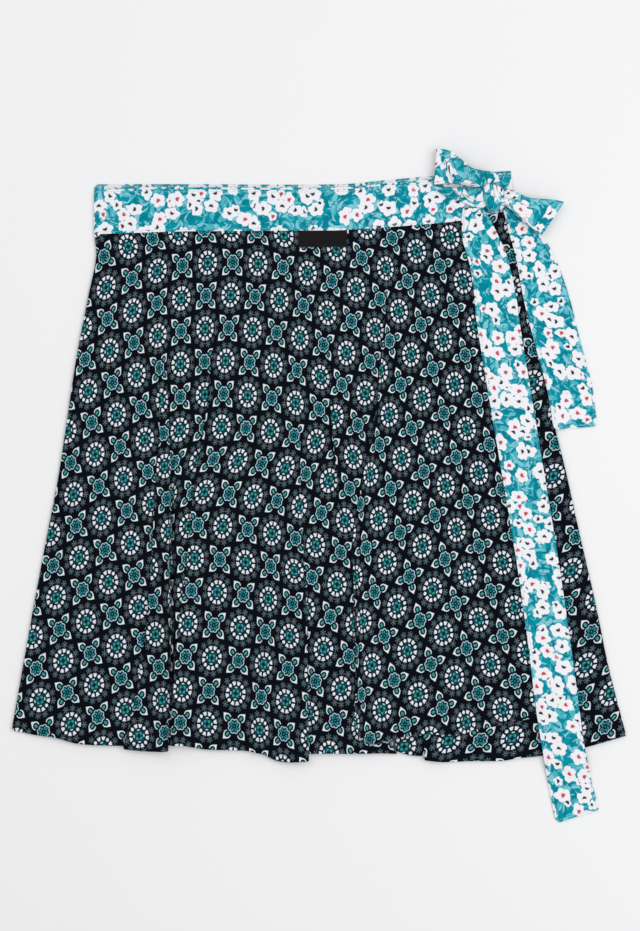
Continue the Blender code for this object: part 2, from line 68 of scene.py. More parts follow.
def lay(points):
    """Rows of x, y, z on the table, in the model's directions but still in millimetres."""
    grid = np.array(points, float)
    grid[..., 0] -= TABLE_MID[0]
    grid[..., 1] = TABLE_MID[1] - grid[..., 1]
    return grid


def put(name, data):
    """Puts a mesh, a camera or a lamp into the scene as a new object."""
    thing = bpy.data.objects.new(name, data)
    bpy.context.scene.collection.objects.link(thing)
    return thing


# %% [markdown]
# ## The camera
#
# A flat garment is shown from straight above, so that no part of it looks wider than another. A
# long lens a good way off does that: the perspective is then so small that the skirt's few
# millimetres of height don't shift its outline. The camera looks down -Z, which is what a new
# Blender camera does without any turning. Its height follows from the strip of table that has to
# fit the picture.

# %% Set up the camera
SEEN_HEIGHT = 0.931
LENS = 85.0
SENSOR = 36.0
AIM_X, AIM_Y, AIM_Z = 0.0012, 0.0204, 0.003
camera_data = bpy.data.cameras.new("overhead camera")
camera_data.lens = LENS
camera_data.sensor_width = SENSOR
camera = put("overhead camera", camera_data)
camera.location = (AIM_X, AIM_Y, AIM_Z + SEEN_HEIGHT * LENS / SENSOR)
bpy.context.scene.camera = camera
print("camera height, m:", round(camera.location.z, 3))

# %% [markdown]
# ## How much room each layer has
#
# Seen from the side, a folded skirt is a stack of thin layers. The model gives each layer a
# millimetre and a little air, and numbers the layers from the table: the back is 0, the under lap
# is 1 and the upper lap is 2. Light printed viscose is thinner than that, about half a
# millimetre, and twice as thick where its hem is turned. We keep the model's heights for the
# middle of each layer and make the cloth itself thinner, which leaves a real gap of air and no
# two layers that touch.

# %% Heights of the layers
LAYER_ROOM = 1.0
AIR = 0.3
PITCH = LAYER_ROOM + AIR
CLOTH = 0.5
HEM_CLOTH = 0.95
HEM_WIDTH = 7.0


def level(layer):
    """Height of the middle of a layer above the table, in millimetres."""
    return LAYER_ROOM / 2 + layer * PITCH


print("layer heights, mm:", [round(level(n), 2) for n in range(3)])

# %% [markdown]
# ## Smooth curves through a few measurements
#
# A cutter marks a few points of an edge and draws through them with a French curve. A spline
# object could do that here, but we need the curve's value at any place, so a small function is
# simpler: it passes through each measured point and takes its direction there from the two
# neighbours. Two more helpers give the soft step and the soft bump that cloth is full of.

# %% Curves, steps and bumps

def curve(places, values):
    """A smooth function through the measured points, level beyond its ends."""
    last = len(places) - 1
    slopes = []
    for i in range(len(places)):
        low, high = max(i - 1, 0), min(i + 1, last)
        slopes.append((values[high] - values[low]) / (places[high] - places[low]))

    def at(place):
        if place <= places[0]:
            return values[0]
        if place >= places[last]:
            return values[last]
        i = bisect_right(places, place) - 1
        width = places[i + 1] - places[i]
        t = (place - places[i]) / width
        rise = values[i + 1] - values[i]
        bend_in = slopes[i] * width - rise
        bend_out = -slopes[i + 1] * width + rise
        return values[i] + t * rise + t * (1 - t) * ((1 - t) * bend_in + t * bend_out)

    return at


def limited(value):
    """The value, kept between 0 and 1."""
    return min(max(value, 0.0), 1.0)


def ease(t):
    """0 before 0, 1 after 1, and smooth between."""
    t = limited(t)
    return t * t * (3 - 2 * t)


def bell(aside):
    """1 on a line, falling off softly to either side."""
    return exp(-aside * aside)


print("half way up a soft step:", ease(0.5))

# %% [markdown]
# ## The lines that run from the waist to the hem
#
# Sides, free edges and folds all run from the waist down. Each is given by how far to the right
# it lies at ten shares of the skirt's length. Real folds in a flared skirt are never straight:
# the cloth hangs from the waist, so a fold wanders a little as it finds its way down.

# %% Table of the lines
SHARES = (0, 0.05, 0.125, 0.25, 0.375, 0.5, 0.625, 0.75, 0.875, 1)
LINE_X = {
    "left side":     (94.0, 96.0, 88.5, 76.5, 67.0, 57.5, 45.5, 33.8, 22.8, 11.8),
    "strip left":    (150, 150.5, 152, 159, 160, 155.5, 152, 147, 138, 123.5),
    "strip right":   (168, 168, 168, 167, 169, 171, 171, 171, 170.5, 168),
    "valley right":  (218, 217.5, 216, 212, 205, 194, 188.5, 180.5, 174.5, 170.5),
    "soft ridge":    (312, 311, 309, 305, 300, 284, 274, 268, 262, 256),
    "lobe right":    (300, 300, 300, 300, 300, 301, 304, 307, 308, 308.5),
    "sliver":        (324, 324, 325, 328.5, 332, 338.5, 343, 344, 345, 346),
    "main fold":     (392, 391, 388, 381, 376, 363, 353, 354.5, 355.8, 354.5),
    "main sinks":    (404, 404, 404, 406, 414, 430, 443, 446, 449, 454),
    "over free edge": (468, 472, 478, 488, 498, 508, 518, 528, 538, 548),
    "under free edge": (125, 122.5, 118.8, 112.5, 106.2, 100, 93.8, 87.5, 81.2, 75),
    "under fold":    (452, 451, 449, 444, 438, 428, 416, 418, 421, 425),
    "right side":    (515, 520, 527, 538.5, 550, 566, 580.5, 595.5, 609, 625.8),
}
LINES = {name: curve(SHARES, xs) for name, xs in LINE_X.items()}
WAIST_Y = 230.0
SKIRT_LENGTH = 522.0


def share_at(y):
    """Roughly how far down the skirt a place on the table lies, from 0 to 1."""
    return limited((y - WAIST_Y) / SKIRT_LENGTH)


print("lines measured:", len(LINES))

# %% [markdown]
# ## The folds and the hem
#
# The cloth was cut as part of a ring, so it is far too wide for the table at the hem and the
# surplus goes into folds. A flattened fold takes three numbers: where it starts, how much cloth
# it hides at the hem, and which side lies on top. Past the hidden cloth the upper layer sinks
# again, at once or at a line of its own. The hem is given run by run, because it jumps at each
# fold.

# %% Tables of the folds and hems
OVER_FOLDS = (
    # line            on top   starts ends depth  sinks
    ("strip left",   "right", 0.22, 1.00, 6, "never"),
    ("strip right",  "left",  0.24, 1.00, 26, "never"),
    ("valley right", "right", 0.16, 1.00, 14, "at once"),
    ("lobe right",   "left",  0.52, 1.00, 16, "at once"),
    ("sliver",       "right", 0.20, 0.58, 4, "at once"),
    ("main fold",    "right", 0.14, 1.00, 38, "main sinks"),
)
UNDER_FOLDS = (
    ("under fold",   "right", 0.56, 1.00, 9, "at once"),
)
OVER_HEM = (
    ((11.8, 730.5), (34, 735), (54, 738), (73, 743.6), (97, 745.3), (123.5, 746)),
    ((124, 749), (145, 751), (168, 751)),
    ((142, 745), (160, 745), (184, 745.5)),
    ((170.5, 745), (185, 745.5), (202, 749), (226, 750), (248, 751), (262, 754), (276, 760.5),
     (291, 762), (308.5, 761)),
    ((292.5, 756), (309, 754), (328, 753.6), (346, 753.6)),
    ((347, 753.6), (365, 753.6), (382, 753.4), (396, 753.8)),
    ((354.5, 728.6), (359.8, 737.3), (364.9, 744.2), (370, 745.6), (376, 743.4), (384, 740.4),
     (396, 737.6), (416, 735), (436, 734.2), (463, 734), (472, 730), (490, 727), (518, 721),
     (548, 714.5)),
)
UNDER_HEM = (
    ((75, 735), (120, 740), (180, 741), (250, 746), (300, 750), (350, 750), (386, 751),
     (397, 754.6), (407, 756), (415, 755.6), (424, 755)),
    ((425.5, 760.2), (434, 761.3), (447, 762.2), (471, 761.2), (502, 761), (518, 758.4),
     (540, 756), (585, 747.5), (605, 742), (625.8, 736)),
)
BACK_HEM = (
    ((13.5, 727.5), (45, 731), (100, 741), (180, 741), (250, 746), (300, 750), (350, 750),
     (392, 751), (430, 754), (470, 758), (510, 757), (540, 752.5), (585, 744), (623.5, 733)),
)
SEAM = ((94, 232.4), (131, 231.4), (172, 230), (223, 229.4), (300, 229), (330, 229), (380, 226),
        (420, 223), (460, 219), (493, 211.8), (515, 208))
SEAM_Y = curve([x for x, _ in SEAM], [y for _, y in SEAM])
hidden_cloth = 2 * sum(depth for _, _, _, end, depth, _ in OVER_FOLDS if end == 1)
print("cloth hidden in folds at the hem, mm:", hidden_cloth)

# %% [markdown]
# ## The section of one fold
#
# Cut a folded skirt across and the cloth draws an S: it runs under an edge, turns back, and turns
# again to go on one layer higher. The S is made of two arcs joined by the hidden cloth. While the
# fold is still opening, near its start, each arc turns through less than half a circle, so that
# the S grows out of a soft bulge. Cloth simulation could find this shape, but it would put the
# folds where it likes; an exact section puts them where they were measured.

# %% The fold
FOLD_TURN_SHARE = 0.12
FOLD_STEPS = 7
FOLD_LEAST_DEPTH = 0.4
FOLD_LEAST_CLOSED = 0.001
BACK_STEP = 6.0
BACK_SLANT = 10.0
BACK_MIDDLE = 0.5
BACK_LATER = 0.2
FOLD_HOLD = 2.0
FOLD_RAMP = 13.0


class Fold:
    """A flattened fold: cloth goes under an edge, comes back, and goes on, one layer higher."""

    def __init__(self, line, on_top, start, end, depth, sinks):
        self.line = LINES[line]
        self.right_on_top = on_top == "right"
        self.start = start
        self.end = end
        self.full_depth = depth
        self.sinks = sinks

    def turn(self, share):
        """The angle that the cloth turns through at each of the two edges."""
        closes = (share - self.start) / FOLD_TURN_SHARE
        if self.end < 1:
            closes = min(closes, (self.end - share) / FOLD_TURN_SHARE)
        return pi * min(max(closes, FOLD_LEAST_CLOSED), 1.0)

    def depth(self, share):
        """How much cloth lies hidden between the two edges."""
        closed = self.start + FOLD_TURN_SHARE
        if self.end < 1:
            along = (share - closed) / (self.end - FOLD_TURN_SHARE - closed)
            return max(self.full_depth * sin(pi * limited(along)), FOLD_LEAST_DEPTH)
        return max(self.full_depth * (share - closed) / (1 - closed), FOLD_LEAST_DEPTH)

    def section(self, share):
        """Points x, z from the left run to the right run, and the rise of the layer on top."""
        turn, depth = self.turn(share), self.depth(share)
        radius = pi * PITCH / 2 / turn
        if turn > pi / 2:
            radius = (2 * PITCH - depth * sin(turn)) / (2 * (1 - cos(turn)))
        points = []
        for step in range(FOLD_STEPS + 1):
            angle = turn * step / FOLD_STEPS
            points.append((radius * sin(angle), radius * (1 - cos(angle))))
        end_x = points[-1][0] + depth * cos(turn)
        end_z = points[-1][1] + depth * sin(turn)
        for step in range(FOLD_STEPS + 1):
            angle = turn * (1 - step / FOLD_STEPS)
            points.append((end_x + radius * (sin(turn) - sin(angle)),
                           end_z + radius * (cos(angle) - cos(turn))))
        rise = points[-1][1]
        middle = points[-1][0] / 2
        behind = (PITCH + depth) / 2 * turn / pi
        points = [(x - middle + behind, z) for x, z in points]
        if not self.right_on_top:
            points = [(-x, z) for x, z in reversed(points)]
        return [(self.line(share) + x, z) for x, z in points], rise

    def points(self, share, y_from, y_to):
        """The fold's points x, z, each with the y at which it meets the hem."""
        y_on_top = y_to if self.right_on_top else y_from
        half = FOLD_STEPS + 1

        def section_at(y_hem):
            return self.section(share * (y_hem - WAIST_Y) / (y_on_top - WAIST_Y))[0]

        first = [(x, z, y_from) for x, z in section_at(y_from)[:half]]
        second = [(x, z, y_to) for x, z in section_at(y_to)[half:]]
        if abs(y_to - y_from) < BACK_SLANT:
            return first + second
        depth = self.depth(share)
        slant = BACK_MIDDLE + BACK_LATER * ease((depth - BACK_STEP) / BACK_STEP)
        near = min(BACK_MIDDLE, BACK_STEP / depth)
        y_back = y_from + (y_to - y_from) * slant
        (x0, z0), (x1, z1) = section_at(y_back)[half - 1:half + 1]
        return first + [(x0 + (x1 - x0) * near, z0 + (z1 - z0) * near, y_back)] + second

    def slope(self, share):
        """Where the layer on top starts to sink, and where it has sunk. None if it stays up."""
        if self.sinks == "never":
            return None
        points, _ = self.section(share)
        if self.sinks in LINES:
            start = LINES[self.sinks](share)
        elif self.right_on_top:
            start = max(x for x, _ in points) + FOLD_HOLD
        else:
            start = min(x for x, _ in points) - FOLD_HOLD
        return start, start + (FOLD_RAMP if self.right_on_top else -FOLD_RAMP)


print("points across one fold:", 2 * (FOLD_STEPS + 1))

# %% [markdown]
# ## The cloth between two folds
#
# Between one fold and the next the cloth lies open. It needs enough columns of points to follow
# soft wrinkles, about one every four millimetres, and it starts high beside a fold that lies on
# top and then sinks to its own layer. Each column keeps its share of the run from the waist to
# the hem, so that the rows of faces fan out as the threads of the cloth do.

# %% The open runs
COLUMN_STEP = 3.8


class Run:
    """The cloth between one fold and the next, or between a fold and the panel's side."""

    def __init__(self, before, after, hem, left_line, right_line):
        self.before = before if before and before.right_on_top else None
        self.after = after if after and not after.right_on_top else None
        self.left_line = left_line
        self.right_line = right_line
        marks = self.marks(1.0, hem[0][0], hem[-1][0])
        hem_y = curve([x for x, _ in hem], [y for _, y in hem])
        self.columns = []
        for k in range(len(marks) - 1):
            width = marks[k + 1] - marks[k]
            parts = max(1, ceil(width / COLUMN_STEP))
            for j in range(parts):
                self.columns.append((k, j / parts, hem_y(marks[k] + width * j / parts)))
        self.columns.append((len(marks) - 2, 1.0, hem[-1][1]))

    def marks(self, share, x_left, x_right):
        """The run's ends and, between them, the ends of the stretches in which it sinks."""
        marks = [x_left]
        if self.before and self.before.slope(share):
            marks += self.before.slope(share)
        if self.after and self.after.slope(share):
            marks += reversed(self.after.slope(share))
        return marks + [x_right]

    def points(self, share, x_left, x_right):
        """The run's points in one row: x, height above its layer, and the hem's y below them."""
        marks = self.marks(share, x_left, x_right)
        sinking = []
        for fold in (self.before, self.after):
            if fold:
                sinking.append((fold.section(share)[1], fold.slope(share)))
        points = []
        for k, part, y_hem in self.columns:
            x = marks[k] + (marks[k + 1] - marks[k]) * part
            height = 0.0
            for rise, slope in sinking:
                if slope:
                    rise *= 1 - ease((x - slope[0]) / (slope[1] - slope[0]))
                height = max(height, rise)
            points.append((x, height, y_hem))
        return points


print("widest gap between columns at the hem, mm:", COLUMN_STEP)

# %% [markdown]
# ## A whole panel as a grid of points
#
# A panel is rows of points from the waist to the hem. The rows are even, except near the hem,
# where closer ones give the turned edge its little step. Each row joins runs and folds, and each
# point then gets the height of what lies under it. A grid like this is worth the trouble:
# thickness, print and stitching can all be read from a point's row and column later.

# %% Rows of a panel
ROW_COUNT = 112
HEM_ROWS = (9.0, 7.8, 6.9, 4.5, 2.0, 0.7)
ROW_SHARES = [r / ROW_COUNT for r in range(ROW_COUNT - 1)]
ROW_SHARES += [1 - up / SKIRT_LENGTH for up in HEM_ROWS] + [1.0]


def panel_row(share, folds, runs, hem):
    """One row of a folded panel: table x, height above its layer, and where it meets the hem."""
    bends = [fold.points(share, hem[i][-1][1], hem[i + 1][0][1]) for i, fold in enumerate(folds)]
    row = []
    for i, run in enumerate(runs):
        x_left = bends[i - 1][-1][0] if i > 0 else run.left_line(share)
        x_right = bends[i][0][0] if i < len(folds) else run.right_line(share)
        row.extend(run.points(share, x_left, x_right))
        if i < len(folds):
            row.extend(bends[i][1:-1])
    return row


def folded_panel(folds, hem, left_line, right_line, height_at):
    """The middle surface of a panel, row by row from the waist to the hem."""
    folds = [Fold(*fold) for fold in folds]
    around = [None] + folds + [None]
    runs = [Run(around[i], around[i + 1], stretch, LINES[left_line], LINES[right_line])
            for i, stretch in enumerate(hem)]
    tops = [SEAM_Y(x) + AIR for x, _, _ in panel_row(0.0, folds, runs, hem)]
    rows = []
    for share in ROW_SHARES:
        row = []
        for (x, height, y_hem), y_top in zip(panel_row(share, folds, runs, hem), tops):
            y = y_top + (y_hem - y_top) * share
            row.append((x, y, height + height_at(x, y)))
        rows.append(row)
    return rows


print("rows in a panel:", len(ROW_SHARES))

# %% [markdown]
# ## Soft swells
#
# Laid cloth is never quite flat. It bulges where a fold is about to form, it keeps long low
# ridges that fan out from the waist, and small waves are left where a hand smoothed it. Where two
# bulges meet there is a valley, narrow and steep at the bottom, and that is the dark line one
# sees running up from a fold. These are only a millimetre or two high, a few beside a valley, but
# they are what catches the light. They are part of the mesh and not of a bump map, so they hold
# up from the side. Every layer is lifted by a share of the same swell, the upper ones more, so
# that the layers stay apart.

# %% Ridges, bulges and small waves
CREST_HEIGHT = 2.5
CREST_WIDTH = 11.0
CREST_START = 0.04
RIDGE_HEIGHT = 4.6
RIDGE_WIDTH = 5.5
RIDGE_START = 0.35
RIDGE_GROWTH = 0.45
VALLEY_ASIDE = 1.0
VALLEY_BOTTOM = 0.8
VALLEY_SIDES = 2.6
VALLEY_SPREAD = 13.0
VALLEY_GROWTH = 0.3
VALLEYS = (
    # line          starts high
    ("strip right", 0.30, 6.0),
    ("lobe right", 0.62, 2.4),
    ("main fold", 0.40, 2.6),
)
SIDE_SAG_START = 6.0
SIDE_SAG_WIDTH = 20.0
SOFT_RIDGES = (
    # x at waist, at hem, starts, height, width
    (112, 58, 0.20, 1.3, 15),
    (134, 96, 0.45, 1.1, 10),
    (238, 214, 0.30, 1.5, 16),
    (268, 285, 0.50, 1.2, 13),
    (345, 330, 0.55, 0.9, 9),
    (420, 418, 0.35, 1.3, 18),
    (446, 478, 0.25, 1.2, 15),
    (500, 528, 0.40, 1.0, 14),
    (508, 570, 0.30, 1.4, 15),
    (512, 604, 0.45, 1.1, 10),
)
SOFT_RIDGE_GROWTH = 0.35
FAN_MIDDLE = 250
FAN_OPENS = 0.4
WAVE_MEAN = 0.55
WAVES = (
    # length across, down, seed, height
    (26, 95, 1.7, 0.5),
    (11, 34, 6.1, 0.22),
)
WAVES_GROWTH = 0.08
HEM_WAVE_LENGTH = 21
HEM_WAVE_SEED = (0.3, 2.4)
HEM_WAVE_HEIGHT = 0.55
HEM_WAVE_START = 0.86


def crest(x, y):
    """The bulges that the upper lap's folds grow out of, its one long ridge, and its valleys."""
    share = share_at(y)
    height = 0.0
    for line, _, start, _, _, _ in OVER_FOLDS:
        closes = ease((share - start) / FOLD_TURN_SHARE)
        grows = ease((share - CREST_START) / start) * (1 - closes)
        height += CREST_HEIGHT * grows * bell((x - LINES[line](share)) / CREST_WIDTH)
    ridge = ease((share - RIDGE_START) / RIDGE_GROWTH)
    ridge *= bell((x - LINES["soft ridge"](share)) / RIDGE_WIDTH)
    for line, start, high in VALLEYS:
        aside = max(abs(x - LINES[line](share) - VALLEY_ASIDE) - VALLEY_BOTTOM, 0.0)
        bank = ease(aside / VALLEY_SIDES) * bell(aside / VALLEY_SPREAD)
        height += high * ease((share - start) / VALLEY_GROWTH) * bank
    return height + RIDGE_HEIGHT * ridge


def side_sag(x, y):
    """How much the upper lap sinks near the left side, past the under lap's free edge."""
    inside = x - LINES["left side"](share_at(y))
    return PITCH * (1 - ease((inside - SIDE_SAG_START) / SIDE_SAG_WIDTH))


def swell(x, y):
    """The low waves of laid cloth, in millimetres, never below zero."""
    share = share_at(y)
    height = 0.0
    for at_waist, at_hem, start, high, wide in SOFT_RIDGES:
        line = at_waist + (at_hem - at_waist) * share
        height += high * ease((share - start) / SOFT_RIDGE_GROWTH) * bell((x - line) / wide)
    fan = (x - FAN_MIDDLE) / (1 + FAN_OPENS * share)
    waves = WAVE_MEAN
    for across, down, seed, high in WAVES:
        waves += high * noise.noise(Vector((fan / across, y / down, seed)))
    near_hem = ease((share - HEM_WAVE_START) / (1 - HEM_WAVE_START))
    hem = near_hem * noise.noise(Vector((x / HEM_WAVE_LENGTH, *HEM_WAVE_SEED)))
    return height + ease(share / WAVES_GROWTH) * (waves + HEM_WAVE_HEIGHT * abs(hem))


print("swell in the middle of the front, mm:", round(swell(260, 500), 2))

# %% [markdown]
# ## From a grid of points to a shell of cloth
#
# A sheet of cloth has two sides and a thin edge all round. Blender's Solidify modifier gives
# thickness too, but it takes one thickness for the whole piece, and in a tight fold it can push
# one side through the other. Here each point gets its own step to either side, mitred where the
# cloth turns, so the hem can be thicker than the rest and edges can be rolled thin. The same
# function stores two maps for the materials: where a point lay on the cut cloth, and how far it
# is from a sewn edge.

# %% The cloth shell
SHARP_ANGLE = 0.7


def unit(vectors):
    """Vectors with the same directions, all one long."""
    length = np.linalg.norm(vectors, axis=-1, keepdims=True)
    return vectors / np.maximum(length, 1e-9)


def off_the_cloth(grid):
    """At each point of a grid, the step from the middle to one millimetre above it."""
    legs = unit(grid[1:] - grid[:-1])
    down = np.zeros_like(grid)
    down[1:] += legs
    down[:-1] += legs
    across = grid[:, 1:] - grid[:, :-1]
    total = np.zeros_like(grid)
    total[:, :-1] += unit(np.cross(down[:, :-1], across))
    total[:, 1:] += unit(np.cross(down[:, 1:], across))
    total[:, 1:-1] /= 2
    return total / np.sum(total * total, axis=-1, keepdims=True)


def run_length(grid, axis):
    """The distance walked over the cloth along its rows or columns."""
    steps = np.linalg.norm(np.diff(grid, axis=axis), axis=-1)
    start = np.zeros_like(np.take(grid[..., 0], [0], axis=axis))
    return np.concatenate([start, np.cumsum(steps, axis=axis)], axis=axis)


def shell_faces(row_count, column_count):
    """Quads of the upper side, the under side and the edge all round, as three lists."""
    count = row_count * column_count
    number = np.arange(count).reshape(row_count, column_count)
    quads = np.stack([number[:-1, :-1], number[1:, :-1], number[1:, 1:], number[:-1, 1:]], -1)
    above = quads.reshape(-1, 4)
    rim = np.concatenate([number[:-1, 0], number[-1, :-1], number[:0:-1, -1], number[0, :0:-1]])
    ahead = np.roll(rim, -1)
    edge = np.stack([ahead, rim, rim + count, ahead + count], -1)
    return above.tolist(), (above[:, ::-1] + count).tolist(), edge.tolist()


def smooth_mesh(name, points, faces, maps):
    """A smooth mesh of points in millimetres. A map holds two numbers for each of its points."""
    mesh = bpy.data.meshes.new(name)
    mesh.from_pydata((points / MM_PER_M).tolist(), [], faces)
    corners = np.empty(len(mesh.loops), int)
    mesh.loops.foreach_get("vertex_index", corners)
    for title, values in maps.items():
        layer = mesh.uv_layers.new(name=title)
        layer.data.foreach_set("uv", values[corners].ravel())
    mesh.shade_smooth()
    return mesh


def cloth_shell(name, grid, thick, cut, sewn):
    """A closed shell of cloth round a middle surface, with its maps of the cut and the sewing."""
    half = off_the_cloth(grid) * (np.asarray(thick) / 2)[..., None]
    points = np.concatenate([(grid + half).reshape(-1, 3), (grid - half).reshape(-1, 3)])
    above, below, edge = shell_faces(*grid.shape[:2])
    maps = {"cut": np.concatenate([cut.reshape(-1, 2)] * 2),
            "sewn": np.concatenate([sewn.reshape(-1, 2)] * 2)}
    mesh = smooth_mesh(name, points, above + below + edge, maps)
    under = np.zeros(len(mesh.polygons), int)
    under[len(above):len(above) + len(below)] = 1
    mesh.polygons.foreach_set("material_index", under)
    mesh.set_sharp_from_angle(angle=SHARP_ANGLE)
    return put(name, mesh)


print("faces in a shell of 3 by 4 points:", sum(len(part) for part in shell_faces(3, 4)))

# %% [markdown]
# ## Where a point lay on the cut cloth
#
# The print was on the cloth before it was cut, so it must follow the cut and not the table. A
# flared panel is cut as part of a ring: the waist is the inner arc and the hem the outer one. On
# the table the print therefore turns from side to side, and it is interrupted at each fold by
# just the cloth that the fold hides. We walk along each row, over the hidden cloth too, and
# spread that walk over the ring's angle.

# %% The ring that a lap is cut from
RING_INNER = 463.0
RING_DOWN = 0.97
BACK_RING = (-28, 28)
OVER_RING = (-19.2, 36.8)
TURNED_STEP = 0.9
TURNED_MORE = 0.5
ROLL_WIDTH = 0.7
ROLL_LEAST = 0.45


def ring_cut(grid, from_degrees, to_degrees):
    """Place on the cut cloth, in millimetres, of a panel that is cut as part of a ring."""
    along = run_length(grid, 1)
    share = along / along[:, -1:]
    angle = np.radians(from_degrees + (to_degrees - from_degrees) * share)
    radius = RING_INNER + RING_DOWN * run_length(grid, 0)
    return np.stack([radius * np.sin(angle), -radius * np.cos(angle)], -1)


def straight_cut(grid):
    """Place on the cut cloth, in millimetres, of a piece that is cut along the threads."""
    return np.stack([run_length(grid, 1), -run_length(grid, 0)], -1)


def nearest_edge(down, along, edges):
    """Millimetres to the nearest of the named edges, from the distances down and along a grid."""
    away = {"top": down, "bottom": down[-1:] - down,
            "left": along, "right": along[:, -1:] - along}
    return np.minimum.reduce([away[edge] for edge in edges])


def sewn_edges(grid, edges):
    """Millimetres along the rows, and away from the nearest sewn edge."""
    down, along = run_length(grid, 0), run_length(grid, 1)
    return np.stack([along, nearest_edge(down, along, edges)], -1)


def hem_thickness(sewn):
    """Single cloth, double where the hem is turned, and rolled thin at the very edge."""
    away = sewn[..., 1]
    turned = np.clip((HEM_WIDTH + TURNED_MORE - away) / TURNED_STEP, 0, 1)
    edge = np.clip(away / ROLL_WIDTH, ROLL_LEAST, 1)
    return (CLOTH + (HEM_CLOTH - CLOTH) * turned) * edge


ring_turn = radians(OVER_RING[1] - OVER_RING[0])
print("waist arc of the upper lap's ring, mm:", round(ring_turn * RING_INNER))

# %% [markdown]
# ## The back, the under lap and the upper lap
#
# Now the three panels can be laid down, from the table up. The back lies flat on the table, so it
# has no swell. The under lap takes a little over half of it, and the upper lap all of it. The
# upper lap is the one that everybody sees, and it has six folds; only the right fifth of the
# under lap shows.

# %% Lay the three panels
UNDER_LAP_SWELL = 0.6


def on_table_top(x, y):
    """Middle height of the back panel."""
    return level(0)


def on_back(x, y):
    """Middle height of the under lap."""
    return level(1) + UNDER_LAP_SWELL * swell(x, y)


def on_under_lap(x, y):
    """Middle height of the upper lap."""
    return level(2) - side_sag(x, y) + crest(x, y) + swell(x, y)


def lay_panel(name, grid, edges, ring=None):
    """The shell of a panel with a turned hem, cut as part of a ring or else straight."""
    sewn = sewn_edges(grid, edges)
    cut = ring_cut(grid, *ring) if ring else straight_cut(grid)
    return cloth_shell(name, grid, hem_thickness(sewn), cut, sewn)


back_grid = lay(folded_panel((), BACK_HEM, "left side", "right side", on_table_top))
under_grid = lay(folded_panel(UNDER_FOLDS, UNDER_HEM, "under free edge", "right side", on_back))
over_grid = lay(folded_panel(OVER_FOLDS, OVER_HEM, "left side", "over free edge", on_under_lap))
back = lay_panel("back", back_grid, ("bottom",), BACK_RING)
under_lap = lay_panel("under_lap_cloth", under_grid, ("bottom", "left"))
over_lap = lay_panel("upper_lap_cloth", over_grid, ("bottom", "right"), OVER_RING)

# %% [markdown]
# ## The waistband
#
# The band is a long strip folded over the tops of all three panels and stitched down. Its lower
# edge lies on the panel, a hair higher, which is the small ledge that one feels with a finger.
# The band's three stretches follow the three panels, and the one across the front sits a few
# millimetres lower, so the one behind peeps over it as a thin line. Each stretch is made from the
# top row of its own panel, so a seam can't open anywhere.

# %% Make the band
BAND_TOP = ((93.5, 188.5), (96, 185), (102, 184), (200, 184), (340, 184), (385, 180), (430, 176),
            (472, 173), (511, 170.6))
BAND_TOP_Y = curve([x for x, _ in BAND_TOP], [y for _, y in BAND_TOP])
BAND_RIGHT = 511
FRONT_RIGHT = 462
FRONT_DROP = 5.5
UNDER_DROP = 0.6 * FRONT_DROP
BAND_CLOTH = 0.9
BAND_TOP_CLOTH = (0.4, 0.75)
BAND_LIP_CLOTH = 0.42
BAND_END_SHARE = 0.6
PUCKER = (9, 26, 4.2)
BAND_SHARES = (0, 0.012, 0.035, 0.09, 0.18, 0.28, 0.38, 0.48, 0.58, 0.68, 0.78, 0.88, 0.95, 0.985)
LIP = ((-0.3, 0.1), (0.5, 0.62), (1.4, 0.62))


def band_rows(panel_grid, right_end, drop):
    """Rows of a stretch of band, from its folded top edge down over the panel's edge."""
    top = panel_grid[0].copy()
    top[:, 0] += TABLE_MID[0]
    top[:, 1] = TABLE_MID[1] - top[:, 1]
    first_x, last_x = top[0, 0], top[-1, 0]
    rows = []
    for down in BAND_SHARES:
        row = []
        for x_low, y_low, z in top:
            x_high = first_x + (x_low - first_x) * (right_end - first_x) / (last_x - first_x)
            y_high = BAND_TOP_Y(x_high) + drop
            row.append((x_high + (x_low - x_high) * down, y_high + (y_low - y_high) * down, z))
        rows.append(row)
    for below, up in LIP:
        rows.append([(x, y + below, z + up) for x, y, z in top])
    return rows


def band_stretch(name, panel_grid, right_end, drop, puff):
    """A stretch of the band, softly puckered along its two lines of stitching."""
    rows = band_rows(panel_grid, right_end, drop)
    for r, row in enumerate(rows[1:-len(LIP)], 1):
        middle = sin(pi * BAND_SHARES[r])
        for c, (x, y, z) in enumerate(row):
            place = Vector((x / PUCKER[0], y / PUCKER[1], PUCKER[2] + drop))
            row[c] = (x, y, z + puff * middle * (0.5 + 0.5 * noise.noise(place)))
    grid = lay(rows)
    thick = np.full(grid.shape[:2], BAND_CLOTH)
    thick[0], thick[1] = BAND_TOP_CLOTH
    thick[-len(LIP):] = BAND_LIP_CLOTH
    thick[:, 0] *= BAND_END_SHARE
    thick[:, -1] *= BAND_END_SHARE
    return cloth_shell(name, grid, thick, straight_cut(grid), sewn_edges(grid, ("top", "bottom")))


band_back = band_stretch("band_across_the_back", back_grid, BAND_RIGHT, drop=0, puff=0.0)
band_under = band_stretch("band_of_the_under_lap", under_grid, BAND_RIGHT, UNDER_DROP, puff=0.25)
band_over = band_stretch("band_of_the_upper_lap", over_grid, FRONT_RIGHT, FRONT_DROP, puff=0.6)
print("faces in the front stretch of the band:", len(band_over.data.polygons))

# %% [markdown]
# ## The label
#
# A small woven label hangs from the seam of the band, caught in the stitching at its top. It is a
# piece of black tape with its raw ends folded under, so it is thicker there. It stays bare: what
# a maker weaves into it is the maker's own. It lifts a little at its free lower edge, as tape
# does.

# %% Make the label
LABEL = {"left": 298.5, "right": 347.0, "top": 230.6, "bottom": 247.2}
LABEL_ROWS = 12
LABEL_COLUMNS = 32
LABEL_CLOTH = 0.55
LABEL_FOLDED = 0.75
LABEL_END = 3
LABEL_LIFT = 0.75
LABEL_CURL = 0.5
